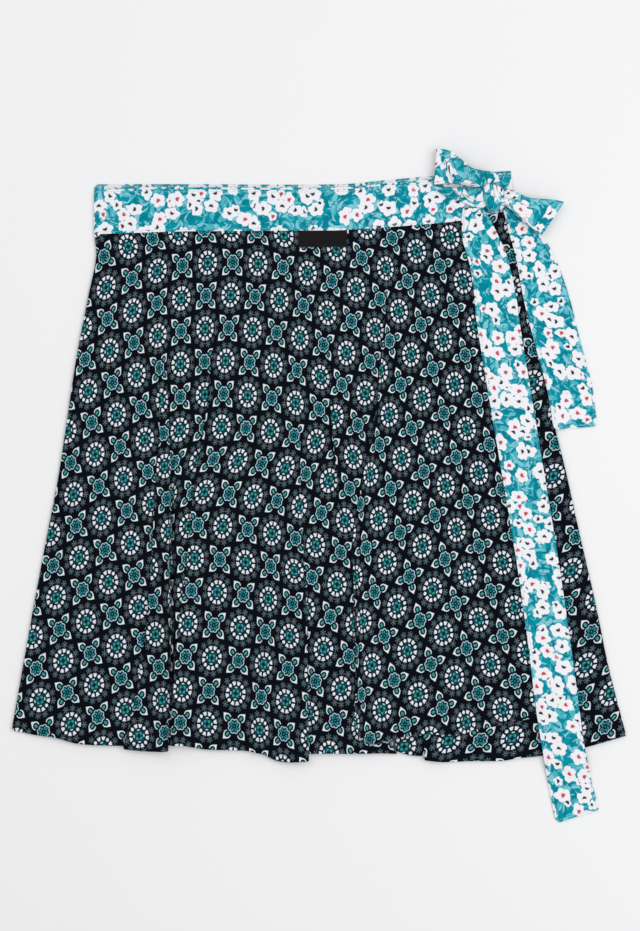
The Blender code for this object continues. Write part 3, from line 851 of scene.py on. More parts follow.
# the label's small waves, up and sideways: height, and millimetres to a radian
LABEL_WAVE = (0.12, 5.0)
LABEL_SWAY = (0.25, 9.0)
SEAM_FOOT = 232


def make_label():
    """A bare tape below the seam, lifted at its free edge."""
    wide, high = LABEL["right"] - LABEL["left"], LABEL["bottom"] - LABEL["top"]
    rows = []
    for r in range(LABEL_ROWS + 1):
        down = r / LABEL_ROWS
        y = LABEL["top"] + high * down
        row = []
        for c in range(LABEL_COLUMNS + 1):
            x = LABEL["left"] + wide * c / LABEL_COLUMNS
            wave = LABEL_WAVE[0] * sin(x / LABEL_WAVE[1]) * down
            lift = LABEL_LIFT + LABEL_CURL * down * down + wave
            sway = LABEL_SWAY[0] * sin(x / LABEL_SWAY[1]) * down
            row.append((x, y + sway, on_under_lap(x, max(y, SEAM_FOOT)) + lift))
        rows.append(row)
    grid = lay(rows)
    thick = np.full(grid.shape[:2], LABEL_CLOTH)
    thick[:, :LABEL_END] = LABEL_FOLDED
    thick[:, -LABEL_END:] = LABEL_FOLDED
    all_round = ("top", "bottom", "left", "right")
    return cloth_shell("label_tape", grid, thick, straight_cut(grid), sewn_edges(grid, all_round))


label = make_label()
print("label, mm:", round(LABEL["right"] - LABEL["left"], 1), "x",
      round(LABEL["bottom"] - LABEL["top"], 1))

# %% [markdown]
# ## Strips that lie between two edges
#
# The ties are the band's own cloth, sewn double and turned, so a tie is a flat tube with soft
# rounded edges and a line of stitching just inside them. It is measured where it lies: the left
# and right edge at a few places along it. The long tie crosses the skirt and hangs over its hem
# down to the table, and the short one slips off the skirt's right side, so each needs to know the
# height of what is below it.

# %% Tables of the ties
TIE_CLOTH = 1.2
TIE_LONG = (
    # left x, y      right x, y     lift
    (463.0, 208.5, 482.0, 208.5, 0.0),
    (461.5, 219.0, 489.5, 219.0, 0.0),
    (462.5, 240.0, 499.0, 238.0, 0.0),
    (466.0, 252.0, 505.5, 253.0, 0.0),
    (470.5, 270.0, 511.0, 273.0, 0.0),
    (474.5, 300.0, 516.5, 300.0, 0.0),
    (477.6, 330.0, 520.6, 330.0, 0.0),
    (496.8, 445.0, 539.3, 445.0, 0.0),
    (516.0, 560.0, 558.0, 560.0, 0.0),
    (528.5, 649.0, 571.0, 649.0, 0.0),
    (534.6, 701.0, 578.0, 701.0, 0.0),
    (540.5, 739.0, 583.0, 739.0, 0.0),
    (545.0, 765.0, 588.3, 765.0, 0.0),
    (548.5, 785.0, 592.4, 785.0, 0.0),
    (554.3, 813.4, 597.8, 802.0, 0.0),
    (556.2, 819.7, 599.0, 807.3, 0.0),
    (559.6, 822.5, 597.4, 810.6, 0.0),
)
TIE_SHORT = (
    (503.9, 213.0, 503.9, 203.0, 1.4),
    (506.5, 223.0, 521.0, 213.0, 1.0),
    (510.0, 237.0, 537.0, 230.0, 0.5),
    (514.0, 250.0, 549.0, 246.0, 0.2),
    (518.0, 268.0, 558.0, 264.0, 0.1),
    (523.7, 300.0, 569.5, 297.0, 0.1),
    (534.0, 341.0, 580.5, 341.0, 0.1),
    (545.0, 382.0, 591.0, 380.0, 0.1),
    (550.0, 403.0, 594.5, 402.0, 0.1),
    (552.4, 422.0, 596.5, 418.5, 0.1),
    (554.0, 427.6, 596.6, 423.6, 0.1),
    (557.0, 429.4, 594.6, 426.4, 0.1),
)
BAND_GATHER = (
    (434.0, 188.8, 434.0, 187.0, 0.3),
    (441.0, 193.5, 441.0, 187.0, 0.4),
    (448.0, 198.5, 448.0, 187.3, 0.5),
    (456.0, 200.0, 456.0, 187.5, 0.7),
    (463.0, 202.8, 463.0, 187.8, 1.2),
    (472.0, 206.8, 472.0, 188.2, 2.2),
    (479.0, 208.2, 479.0, 188.6, 3.4),
    (485.5, 207.6, 485.5, 189.0, 4.6),
)
# where the ground below a tie falls away, and over how many millimetres
LAP_ENDS = (712, 30)
SWELL_ENDS = (745, 26)
HEM_ENDS = (761, 22)
SIDE_ENDS = (1.5, 12)
LAP_FALL = 0.6
LONG_TIE_AIR = 0.1
SHORT_TIE_SWELL = 0.7
SIDE_TOP = 208
SIDE_LENGTH = 528


def past(place, ends):
    """0 before such a place, 1 well past it."""
    return ease((place - ends[0]) / ends[1])


def under_long_tie(x, y):
    """Top of the skirt under the long tie, and the table past the hem."""
    layers = 3 - LAP_FALL * past(y, LAP_ENDS) - (3 - LAP_FALL) * past(y, HEM_ENDS)
    return LONG_TIE_AIR + layers * PITCH + swell(x, y) * (1 - past(y, SWELL_ENDS))


def under_short_tie(x, y):
    """The skirt's right edge under the short tie, and the table beside it."""
    outside = x - LINES["right side"](limited((y - SIDE_TOP) / SIDE_LENGTH))
    return (2 * PITCH + SHORT_TIE_SWELL * swell(x, y)) * (1 - past(outside, SIDE_ENDS))


def on_band(x, y):
    """Top of the three stretches of the band."""
    return 3 * PITCH


print("long tie, mm:", round(TIE_LONG[-1][1] - TIE_LONG[0][1]), "down the table")

# %% [markdown]
# ## Creases
#
# A pleat can follow a rule, but the creases of a tied bow fall where the pull put them. Each one
# is a small fold: the cloth steps up along a line, runs level and sinks again. A line on the
# table, a width and a height describe it; the height is above zero where the cloth right of the
# line lies on top. Cloth is hidden in such a fold, so the print has to jump there, and the same
# sum also says how far.

# %% Creases from lines
CREASE_SINKS = 7.0
CREASE_HIDES = 2.6
CREASE_PRINT_TURN = 1.6
CREASE_EARLY = 2.5
CREASE_LATE = 1.5
CREASE_FADE = 4
BAND_CREASES = (
    # from x, y       to x, y         wide  high
    (434.0, 187.2, 446.5, 196.0, 0.9, 1.8),
    (446.5, 196.0, 462.0, 199.5, 0.9, 1.9),
    (450.0, 186.0, 457.0, 193.5, 0.9, -1.8),
    (457.0, 193.5, 470.0, 197.0, 0.9, -1.7),
    (458.0, 199.0, 466.0, 206.5, 0.9, 1.6),
    (464.0, 189.0, 481.0, 193.0, 1.0, 1.6),
    (466.0, 197.5, 481.0, 202.0, 0.9, -1.5),
)
LEFT_CREASES = (
    (444.5, 162.0, 452.5, 182.0, 0.9, -2.4),
    (449.5, 163.0, 454.5, 178.0, 0.9, 1.7),
    (452.5, 181.5, 472.0, 186.0, 0.9, 1.9),
    (456.0, 177.0, 480.0, 187.5, 0.9, 2.2),
    (464.0, 170.5, 481.0, 183.0, 0.9, -2.2),
    (474.0, 170.0, 484.0, 180.0, 0.9, 1.8),
    (484.0, 172.5, 487.0, 183.0, 0.9, -1.6),
)
RIGHT_CREASES = (
    (503.0, 199.5, 514.0, 200.0, 0.9, -2.0),
    (514.0, 200.0, 526.0, 207.5, 0.9, -2.3),
    (504.0, 203.0, 515.0, 213.5, 0.9, 2.0),
    (515.0, 213.5, 538.0, 231.5, 0.9, 1.8),
    (504.0, 191.5, 512.0, 196.0, 0.9, 1.8),
    (545.0, 200.5, 551.0, 211.0, 0.9, 1.2),
)
KNOT_CREASES = (
    (484.5, 184.0, 483.5, 198.0, 0.8, -1.4),
    (489.5, 185.0, 490.0, 197.0, 0.8, -1.7),
    (482.5, 197.5, 491.5, 198.5, 0.8, 1.7),
    (492.0, 186.0, 493.5, 197.0, 0.8, -1.8),
    (493.5, 197.0, 492.5, 209.5, 0.8, -2.2),
    (496.0, 188.0, 498.0, 203.0, 0.8, -1.6),
    (499.5, 190.0, 501.5, 207.0, 0.8, -1.5),
    (498.0, 203.0, 496.5, 211.5, 0.8, 1.3),
)


def creases(lines, x, y):
    """Height that a set of creases gives to a place, and the cloth hidden before it."""
    height = hidden = 0.0
    for x0, y0, x1, y1, wide, high in lines:
        length = hypot(x1 - x0, y1 - y0)
        ahead = ((x - x0) * (x1 - x0) + (y - y0) * (y1 - y0)) / length
        aside = ((y - y0) * (x1 - x0) - (x - x0) * (y1 - y0)) / length
        aside *= 1 if high > 0 else -1
        fade = ease((ahead + CREASE_EARLY) / CREASE_FADE)
        fade *= 1 - ease((ahead - length + CREASE_LATE) / CREASE_FADE)
        sinks = bell(max(aside, 0.0) / CREASE_SINKS)
        height += abs(high) * ease(aside / wide + 0.5) * fade * sinks
        jump = ease(aside / (CREASE_PRINT_TURN * wide) + 0.5)
        hidden += CREASE_HIDES * abs(high) * jump * fade
    return height, hidden


print("creases in the bow:", len(BAND_CREASES + LEFT_CREASES + RIGHT_CREASES + KNOT_CREASES))

# %% [markdown]
# ## Making a strip
#
# Points across a strip are closer together near its edges, because that is where it curves over.
# The thickness falls off towards the edges in the same way, which makes the round turned edge of
# a sewn tube. What the cloth does on its way, such as pleats and waves, is left to a rule that
# each strip brings with it.

# %% The strip maker
STRIP_ACROSS = 30
STRIP_STEP = 4.0
STRIP_NARROW = 12.0
STRIP_END_SHARE = 0.5
TUBE_EDGE = 14
TUBE_LEAST = 0.3


def along_table(table, spacing):
    """Rows of a table at close steps, on smooth curves through its columns."""
    numbers = list(range(len(table)))
    columns = [curve(numbers, [row[c] for row in table]) for c in range(len(table[0]))]
    places = []
    for i in range(len(table) - 1):
        a, b = table[i], table[i + 1]
        length = max(hypot(b[0] - a[0], b[1] - a[1]), hypot(b[2] - a[2], b[3] - a[3]))
        parts = max(2, ceil(length / spacing))
        places += [i + j / parts for j in range(parts)]
    places.append(numbers[-1])
    return [[column(place) for column in columns] for place in places]


def edge_shares(count):
    """Shares across a strip, closer together near its two edges."""
    return [0.5 - 0.5 * cos(pi * c / (count - 1)) for c in range(count)]


def tube_thickness(width_shares, full):
    """A flat sewn tube: full in the middle, rounded at both edges."""
    side = np.abs(2 * width_shares - 1)
    return full * np.maximum(np.sqrt(np.maximum(1 - side ** TUBE_EDGE, 0)), TUBE_LEAST)


def tube_shell(name, rows, hidden, full, end_share, edges, cut_at):
    """The shell of a sewn tube. cut_at says where on the cloth it was cut from."""
    grid = lay(rows)
    down, along = run_length(grid, 0), run_length(grid, 1)
    count = grid.shape[1]
    thick = np.tile(tube_thickness(np.array(edge_shares(count)), full), (len(rows), 1))
    thick[-1] *= end_share
    walked = np.broadcast_to(down[:, count // 2:count // 2 + 1], down.shape)
    lost = np.array(hidden).reshape(down.shape)
    cut = np.stack([cut_at[0] + along + lost, cut_at[1] - walked - lost], -1)
    sewn = np.stack([walked, nearest_edge(walked, along, edges)], -1)
    return cloth_shell(name, grid, thick, cut, sewn)


def make_strip(name, table, under_it, pleats, cut_at, spacing=STRIP_STEP, lines=()):
    """A strip between two edges. pleats(along, f, x, y) adds its relief, in millimetres."""
    sections = along_table(table, spacing)
    rows, hidden = [], []
    for s, (xl, yl, xr, yr, lift) in enumerate(sections):
        row = []
        narrow = min(1.0, hypot(xr - xl, yr - yl) / STRIP_NARROW)
        for f in edge_shares(STRIP_ACROSS):
            x, y = xl + (xr - xl) * f, yl + (yr - yl) * f
            crease, lost = creases(lines, x, y)
            crease *= ease(5 * f) * ease(5 * (1 - f))
            relief = narrow * (pleats(s / (len(sections) - 1), f, x, y) + crease)
            row.append((x, y, under_it(x, y) + lift + TIE_CLOTH / 2 + relief))
            hidden.append(lost)
        rows.append(row)
    return tube_shell(name, rows, hidden, TIE_CLOTH, STRIP_END_SHARE,
                      ("left", "right", "bottom"), cut_at)


print("points across a strip:", STRIP_ACROSS)

# %% [markdown]
# ## Pleats, waves and the two ties
#
# Cloth that comes out of a knot is squeezed into round pleats, and they open again within a hand's
# width. Further down, a tie lies in slow low waves. The end of the band crumples instead, because
# it is dragged into the knot at a slant. Each of these is a short sum of cosines and soft steps,
# which goes with the strip wherever its table lays it.

# %% Make the ties
GATHER_STEP = 0.8
# pleats at the root of a tie: how many, half their height, and the share in which they open
LONG_PLEATS = (2.5, 0.75, 0.11)
SHORT_PLEATS = (3, 0.6, 0.3)
PLEATS_WANDER = 0.6
PLEATS_WANDER_SPEED = 14
# waves down a tie: height, length across and down, and seed
LONG_WAVES = (0.45, 30, 60, 8.8)
SHORT_WAVES = (0.4, 28, 50, 3.3)
LONG_WAVES_START = 0.1
LONG_WAVES_LEAST = 0.35
SHORT_WAVES_START = 0.2
CRUMPLE_COUNT = 1.4
CRUMPLE_HEIGHT = 0.4
CRUMPLE_LEAST = 0.35
CRUMPLE_SLANT = 0.28
CRUMPLE_TURNS = 2.4
CRUMPLE_RIPPLE = 0.15


def slow_waves(x, y, high, across, down, seed):
    """Low waves over a whole tie."""
    return high + high * noise.noise(Vector((x / across, y / down, seed)))


def root_pleats(along, f, count, high, opens, wander=0.0):
    """Round pleats at the root of a tie."""
    return high * (1 - cos(2 * pi * count * f + wander)) * (1 - ease(along / opens))


def long_pleats(along, f, x, y):
    """Pleats below the knot, and slow waves down the tie."""
    wander = PLEATS_WANDER * sin(PLEATS_WANDER_SPEED * along)
    begun = LONG_WAVES_LEAST + (1 - LONG_WAVES_LEAST) * ease(along / LONG_WAVES_START)
    return root_pleats(along, f, *LONG_PLEATS, wander) + slow_waves(x, y, *LONG_WAVES) * begun


def short_pleats(along, f, x, y):
    """Finer pleats, because this end comes out of a narrower place."""
    begun = ease(along / SHORT_WAVES_START)
    return root_pleats(along, f, *SHORT_PLEATS) + slow_waves(x, y, *SHORT_WAVES) * begun


def band_crumples(along, f, x, y):
    """Slanting crumples where the band is dragged into the knot."""
    slant = f + CRUMPLE_SLANT * sin(CRUMPLE_TURNS * pi * along)
    high = CRUMPLE_HEIGHT * (1 - cos(2 * pi * CRUMPLE_COUNT * slant + 1.1))
    high *= CRUMPLE_LEAST + (1 - CRUMPLE_LEAST) * sin(pi * min(along * 1.2, 1))
    return high * ease(4 * f) * ease(4 * (1 - f)) + CRUMPLE_RIPPLE * sin(9 * along + 5 * f)


tie_long = make_strip("long_tie", TIE_LONG, under_long_tie, long_pleats, cut_at=(369, 33))
tie_short = make_strip("short_tie", TIE_SHORT, under_short_tie, short_pleats, cut_at=(300, 0))
gather = make_strip("band_drawn_into_the_bow", BAND_GATHER, on_band, band_crumples,
                    cut_at=(300, 0), spacing=GATHER_STEP, lines=BAND_CREASES)
print("faces in the ties:", len(tie_long.data.polygons), len(tie_short.data.polygons))

# %% [markdown]
# ## The two loops of the bow
#
# A bow loop is one strip that leaves the knot, turns over at its far end and comes back on top of
# itself. So it is made like the other strips, but its rows walk out along the lower layer, round
# the far end and back along the upper one. The upper layer stands up a little, because air is
# caught in the loop, and both layers are pleated where the knot grips them.

# %% Make the loops
LOOP_LEFT = (
    # upper x, y     lower x, y     height of the under layer and of the top one
    (499.5, 182.2, 485.4, 184.0, 7.8, 11.0),
    (493.5, 174.0, 481.0, 187.4, 7.4, 12.2),
    (481.0, 171.6, 474.0, 187.6, 6.8, 12.6),
    (470.0, 168.4, 465.0, 186.2, 6.2, 12.2),
    (458.8, 158.6, 453.5, 184.2, 5.6, 11.4),
    (449.5, 151.8, 442.5, 184.4, 5.3, 10.6),
    (437.6, 149.6, 435.4, 185.2, 5.2, 9.8),
)
LOOP_RIGHT = (
    (503.6, 191.5, 503.6, 205.0, 8.0, 11.0),
    (512.0, 191.5, 510.0, 210.0, 7.9, 12.2),
    (521.0, 196.0, 517.0, 216.5, 7.2, 12.2),
    (530.0, 199.0, 525.0, 223.5, 6.4, 11.4),
    (543.0, 199.8, 532.5, 229.2, 5.6, 10.2),
    (554.0, 200.6, 537.6, 232.6, 5.1, 9.3),
    (562.4, 202.2, 540.6, 234.6, 4.8, 8.4),
)
LOOP_TURN_STEPS = 10
LOOP_ACROSS = 64
LOOP_STEP = 0.8
LOOP_CLOTH = 0.9
LOOP_ROUND = 0.6
LOOP_PLEAT_COUNT = 2.5
LOOP_PLEAT = 0.5
LOOP_PLEATS_FADE = 1.3
LOOP_WANDER = 0.5
LOOP_PUFF = 1.2
LOOP_FILLS = 1.1
LOOP_FLAT_TOP = 0.8
LOOP_DENT = 1.0
# about how many dents there are along and across a loop
LOOP_DENTS = (2.6, 2.2)
LOOP_EDGES = 6


def loop_path(table):
    """Sections out, round the far end and back: section, height, how far out, bulge and side."""
    sections = along_table(table, LOOP_STEP)
    count = len(sections)
    path = [(section, section[4], i / (count - 1), 0.0, 0.0) for i, section in enumerate(sections)]
    last = sections[-1]
    middle, radius = (last[4] + last[5]) / 2, (last[5] - last[4]) / 2
    for step in range(1, LOOP_TURN_STEPS):
        angle = pi * step / LOOP_TURN_STEPS
        path.append((last, middle - radius * cos(angle), 1.0, radius * LOOP_ROUND * sin(angle),
                     (1 - cos(angle)) / 2))
    for i, section in enumerate(reversed(sections)):
        path.append((section, section[5], 1 - i / (count - 1), 0.0, 1.0))
    return path


def make_loop(name, table, lines, outward, seed, cut_at):
    """A loop of the bow, pleated at its root. outward is the way that its far end points."""
    rows, hidden = [], []
    for (xu, yu, xl, yl, _, _), z, along, bulge, on_top in loop_path(table):
        row = []
        wander = LOOP_WANDER * sin(3 * along + seed)
        for f in edge_shares(LOOP_ACROSS):
            pleat = cos(2 * pi * LOOP_PLEAT_COUNT * f + wander) * (1 - along) ** LOOP_PLEATS_FADE
            filled = sin(pi * min(along * LOOP_FILLS, 1.0))
            puff = LOOP_PUFF * filled * sin(pi * f) ** LOOP_FLAT_TOP
            dents = noise.noise(Vector((along * LOOP_DENTS[0], f * LOOP_DENTS[1], seed)))
            x, y = xu + (xl - xu) * f, yu + (yl - yu) * f
            crease, lost = creases(lines, x, y)
            crease *= ease(LOOP_EDGES * f) * ease(LOOP_EDGES - LOOP_EDGES * f)
            crumple = puff + LOOP_DENT * dents * sin(pi * f) * along + crease
            height = z + LOOP_PLEAT * pleat + on_top * crumple
            row.append((x + outward[0] * bulge, y + outward[1] * bulge, height))
            hidden.append(lost * on_top)
        rows.append(row)
    return tube_shell(name, rows, hidden, LOOP_CLOTH, 1.0, ("left", "right"), cut_at)


loop_left = make_loop("left_loop", LOOP_LEFT, LEFT_CREASES,
                      outward=(-1, 0), seed=1.3, cut_at=(222, 90))
loop_right = make_loop("right_loop", LOOP_RIGHT, RIGHT_CREASES,
                       outward=(0.8, 0.3), seed=2.9, cut_at=(235, 63))
print("faces in the loops:", len(loop_left.data.polygons), len(loop_right.data.polygons))

# %% [markdown]
# ## The knot
#
# The knot is a turn of the same strip, pulled tight round the roots of the loops. Pulled cloth
# gathers into ropes that run with the pull, so the lump has grooves across the way that it is
# squeezed. It starts from a rounded box, which is a ball whose coordinates are raised to a power.
# Four grooves take a little off its radius, and the lines of creases from before shape what is
# seen from above.

# %% Make the knot
KNOT = {"mid_x": 493.6, "mid_y": 198.2, "half_x": 11.4, "half_y": 14.8, "bottom": 2.8,
        "top": 13.2}
KNOT_RINGS = 48
KNOT_SPOKES = 88
KNOT_GROOVES = (
    # place across, wander, width, depth
    (-0.62, 0.10, 0.10, 0.07),
    (-0.18, -0.12, 0.08, 0.10),
    (0.16, 0.08, 0.07, 0.08),
    (0.58, -0.06, 0.10, 0.11),
)
KNOT_LOBES = (
    # height, how many all round, turned by
    (0.07, 2, 0.9),
    (0.06, 3, -0.5),
    (0.02, 7, 0.0),
)
KNOT_SQUARE = 0.9
KNOT_POLE = 0.001
KNOT_UNDERSIDE = -0.3
KNOT_LEAN = 1.2
KNOT_SQUEEZE = 0.4
KNOT_CREASE = 0.6
KNOT_CUT_AT = (568, 36)
KNOT_CUT_SIZE = (14, 16, 6)
NO_SEAM = 50.0


def round_off(value):
    """Squares a ball's coordinate a little, so that the ball becomes a rounded box."""
    return abs(value) ** KNOT_SQUARE * (1 if value >= 0 else -1)


def knot_outline(around):
    """Seen from above the knot bulges at the lower left, where the turn of cloth comes out."""
    return sum((high * cos(count * around + turn) for high, count, turn in KNOT_LOBES), 1)


def knot_keeps(across, along):
    """How much of its full size the knot keeps at a place; across and along run from -1 to 1."""
    keep = 1.0
    for place, wander, width, depth in KNOT_GROOVES:
        keep -= depth * bell((across - place - wander * sin(3 * along)) / width)
    return keep


def knot_point(polar, around):
    """A point of the knot on the table, and where its cloth was cut."""
    wide = round_off(sin(polar)) * knot_outline(around)
    across, along = wide * round_off(cos(around)), wide * round_off(sin(around))
    up = round_off(cos(polar))
    keep = knot_keeps(across, along) if up > KNOT_UNDERSIDE else 1.0
    half_z = (KNOT["top"] - KNOT["bottom"]) / 2
    squeezed = across * (1 - KNOT_SQUEEZE + KNOT_SQUEEZE * keep)
    x = KNOT["mid_x"] + KNOT["half_x"] * squeezed - KNOT_LEAN * along
    y = KNOT["mid_y"] - KNOT["half_y"] * along
    crease, lost = creases(KNOT_CREASES, x, y)
    z = KNOT["bottom"] + half_z + half_z * up * keep + KNOT_CREASE * crease * ease(up * 2)
    return (x, y, z), (KNOT_CUT_AT[0] + across * KNOT_CUT_SIZE[0] + lost,
                       KNOT_CUT_AT[1] + along * KNOT_CUT_SIZE[1] + up * KNOT_CUT_SIZE[2] + lost)


def make_knot():
    """The knot as rings of points from its top to its bottom, closed at both poles."""
    points, cut = [], []
    for r in range(KNOT_RINGS + 1):
        polar = KNOT_POLE + (pi - 2 * KNOT_POLE) * r / KNOT_RINGS
        for s in range(KNOT_SPOKES):
            point, place = knot_point(polar, 2 * pi * s / KNOT_SPOKES)
            points.append(point)
            cut.append(place)
    number = np.arange(len(points)).reshape(-1, KNOT_SPOKES)
    ahead = np.roll(number, -1, axis=1)
    sides = np.stack([number[:-1], number[1:], ahead[1:], ahead[:-1]], -1).reshape(-1, 4)
    caps = [number[0].tolist(), number[-1, ::-1].tolist()]
    maps = {"cut": np.array(cut), "sewn": np.full((len(points), 2), NO_SEAM)}
    name = "knot_of_the_bow"
    return put(name, smooth_mesh(name, lay(points), sides.tolist() + caps, maps))


knot = make_knot()
print("knot, mm:", 2 * KNOT["half_x"], "x", 2 * KNOT["half_y"])

# %% [markdown]
# ## Drawing with shader nodes
#
# The prints are drawn by the materials themselves, not by pictures, so they stay sharp at any
# size. A printed motif is a set of simple shapes, and each shape is a sum: the distance from a
# point to its edge, below zero inside. Adding Math nodes one by one hides the sum, so a small
# helper lets us write sums in Python and adds the nodes for us. All its operations are one
# function with another first argument each, and `partialmethod` is the short way to say so.

# %% Sums that become nodes
def set_inputs(tree, node, values):
    """Gives each input of a node its number or colour, or links it to a term or a socket."""
    for title, value in values.items():
        if isinstance(value, Term):
            value = value.socket
        if isinstance(value, bpy.types.NodeSocket):
            tree.links.new(value, node.inputs[title])
        else:
            node.inputs[title].default_value = value


def add_node(tree, kind, values):
    """A new shader node of this kind, with its inputs."""
    node = tree.nodes.new("ShaderNode" + kind)
    set_inputs(tree, node, values)
    return node


class Term:
    """A number that a material works out at each point. Sums of terms become Math nodes."""

    def __init__(self, tree, socket):
        self.tree = tree
        self.socket = socket

    def math(self, operation, *others):
        """This term and the others, joined by one Math node."""
        node = add_node(self.tree, "Math", dict(enumerate((self, *others))))
        node.operation = operation
        return Term(self.tree, node.outputs[0])

    __add__ = partialmethod(math, "ADD")
    __sub__ = partialmethod(math, "SUBTRACT")
    __mul__ = partialmethod(math, "MULTIPLY")
    __truediv__ = partialmethod(math, "DIVIDE")
    min = partialmethod(math, "MINIMUM")
    max = partialmethod(math, "MAXIMUM")
    abs = partialmethod(math, "ABSOLUTE")
    floor = partialmethod(math, "FLOOR")
    modulo = partialmethod(math, "FLOORED_MODULO")
    cos = partialmethod(math, "COSINE")
    sin = partialmethod(math, "SINE")
    root = partialmethod(math, "SQRT")
    arctan2 = partialmethod(math, "ARCTAN2")

    def wrap(self, size):
        """The place within a repeat, measured from its middle."""
        return self.modulo(size) - size / 2

    def inside(self, soft=0.3):
        """1 where this distance is below zero, 0 where it is above, with a soft edge."""
        values = {"Value": self, "From Min": soft / 2, "From Max": -soft / 2}
        return Term(self.tree, add_node(self.tree, "MapRange", values).outputs[0])


def distance(x, y):
    """How far a place is from the middle."""
    return (x * x + y * y).root()


def oval(x, y, wide, high):
    """Distance to the edge of an oval, below zero inside."""
    return (distance(x / wide, y / high) - 1) * min(wide, high)


def split(tree, vector):
    """The numbers x, y and z of a vector."""
    return [Term(tree, out) for out in add_node(tree, "SeparateXYZ", {0: vector}).outputs]


def read_map(tree, title):
    """The two numbers of one of a piece's maps, and both as a vector."""
    source = add_node(tree, "UVMap", {})
    source.uv_map = title
    first, second, _ = split(tree, source.outputs[0])
    return first, second, source.outputs[0]


print("sums that a term can do:", sum(isinstance(v, partialmethod) for v in vars(Term).values()))

# %% [markdown]
# ## Colours and paint
#
# Colours are noted the way a screen shows them, from 0 to 255, and Blender wants them in linear
# light, so one helper converts them. Another lays a colour over what has been painted so far,
# wherever a mask says so, just as a screen printer lays one ink after another.

# %% Inks
# the sockets that a Mix node uses for colours
MIX_UNDER, MIX_OVER, MIXED_COLOUR = 6, 7, 2


def ink(red, green, blue):
    """A colour noted from 0 to 255, in the linear light that Blender calculates with."""
    parts = []
    for value in (red, green, blue):
        value /= 255
        parts.append(value / 12.92 if value <= 0.04045 else ((value + 0.055) / 1.055) ** 2.4)
    return (*parts, 1.0)


def paint(tree, under, mask, colour):
    """Lays an ink over what is there. under and colour are a colour or a socket."""
    node = add_node(tree, "Mix", {"Factor": mask, MIX_UNDER: under, MIX_OVER: colour})
    node.data_type = "RGBA"
    return node.outputs[MIXED_COLOUR]


def paint_parts(tree, colour, cell, parts):
    """Lays the parts of a motif over each other, in the cells that the motif belongs to."""
    for mask, tone in parts:
        colour = paint(tree, colour, mask * cell, INKS[tone])
    return colour


def scaled(tree, where, scale, shift):
    """A vector times a scale, plus a shift."""
    node = add_node(tree, "VectorMath", {0: where, 1: scale, 2: shift})
    node.operation = "MULTIPLY_ADD"
    return node.outputs[0]


def speckle(tree, where, size, detail=2.0, seed=0.0):
    """Soft random variation, about 0.5 on average, in blotches of this size in millimetres."""
    spot = scaled(tree, where, (1 / size, 1 / size, 1 / size), (seed, seed * 1.7, seed * 0.3))
    values = {"Vector": spot, "Scale": 1.0, "Detail": detail}
    return Term(tree, add_node(tree, "TexNoise", values).outputs[0])


INKS = {
    "night": ink(5, 11, 20), "plum night": ink(13, 9, 17), "white": ink(220, 226, 234),
    "pale blue": ink(178, 204, 222), "sea green": ink(54, 148, 138), "lagoon": ink(46, 138, 144),
    "deep teal": ink(18, 84, 98), "pine": ink(5, 34, 44), "moss": ink(76, 114, 119),
    "mauve": ink(126, 110, 134), "magenta": ink(146, 44, 92),
    "teal": ink(0, 146, 164), "deep sea": ink(0, 126, 144), "dark leaf": ink(0, 112, 132),
    "leaf": ink(72, 180, 192), "mist": ink(128, 198, 212), "stalk": ink(140, 206, 218),
    "petal": ink(240, 241, 246), "petal shade": ink(232, 224, 228), "vein": ink(150, 160, 172),
    "coral": ink(198, 78, 98), "slate": ink(50, 58, 62),
}
print("inks mixed:", len(INKS))

# %% [markdown]
# ## The print of the skirt
#
# The skirt's cloth has an all-over tile print, of the kind that is common on scarves and dress
# cloth: a chequerboard of two motifs, a ring of beads and a flower with four pointed petals, with
# a wreath of tiny blossoms between. Both motifs are symmetrical, so each is drawn once in a wedge
# and the angle is wrapped round, as in a kaleidoscope. That needs far fewer nodes than drawing
# every bead.

# %% Draw the two motifs
RING_BEADS = 12
# oval parts of the motifs, in millimetres: from the motif's middle, half as long, half as wide
RING_BEAD = (9.8, 1.75, 1.7)
RING_EYE = (6.0, 1.0, 1.15)
RING_DROP = (5.7, 0.75, 1.7)
RING_LEAF = (3.4, 1.25, 1.5)
FLOWER_HEART = (11.2, 3.3, 3.15)
FLOWER_DROP = (10.9, 2.15, 1.35)
FLOWER_PAIR = (3.7, 1.7, 0.85)
# round parts: from the motif's middle, radius
PETAL = (11.4, 4.2)
LOBE = (4.9, 2.25)
# circles round the motif's middle: their radius
RING_HUB = 7.3
RING_STAR = 3.0
PETAL_TIP = 18.1
PETAL_START = 9.2
FLOWER_MIDDLE = 5.7
FLOWER_DOT = 0.7
# half the width of drawn lines
STAR_HALF = 1.15
EYE_LINE = 0.22
FLOWER_LINE = 0.42
# the sides of a wedge-shaped bead open outwards, and those of a petal's tip close
BEAD_STARTS = 8.0
BEAD_OPENS = 0.34
BEAD_NARROW = 1.05
TIP_SLANT = (0.64, 0.77)
TIP_STARTS = 14.0
PAIR_APART = 1.25


def wedge(radius, angle, pieces, turned):
    """Place along and across the middle line of the nearest of so many equal wedges."""
    size = 2 * pi / pieces
    within = (angle + (size / 2 if turned == "on the axes" else 0.0)).wrap(size)
    return radius * within.cos(), radius * within.sin()


def part(sizes, along, across):
    """Distance to the edge of an oval part of a motif."""
    return oval(along - sizes[0], across, *sizes[1:])


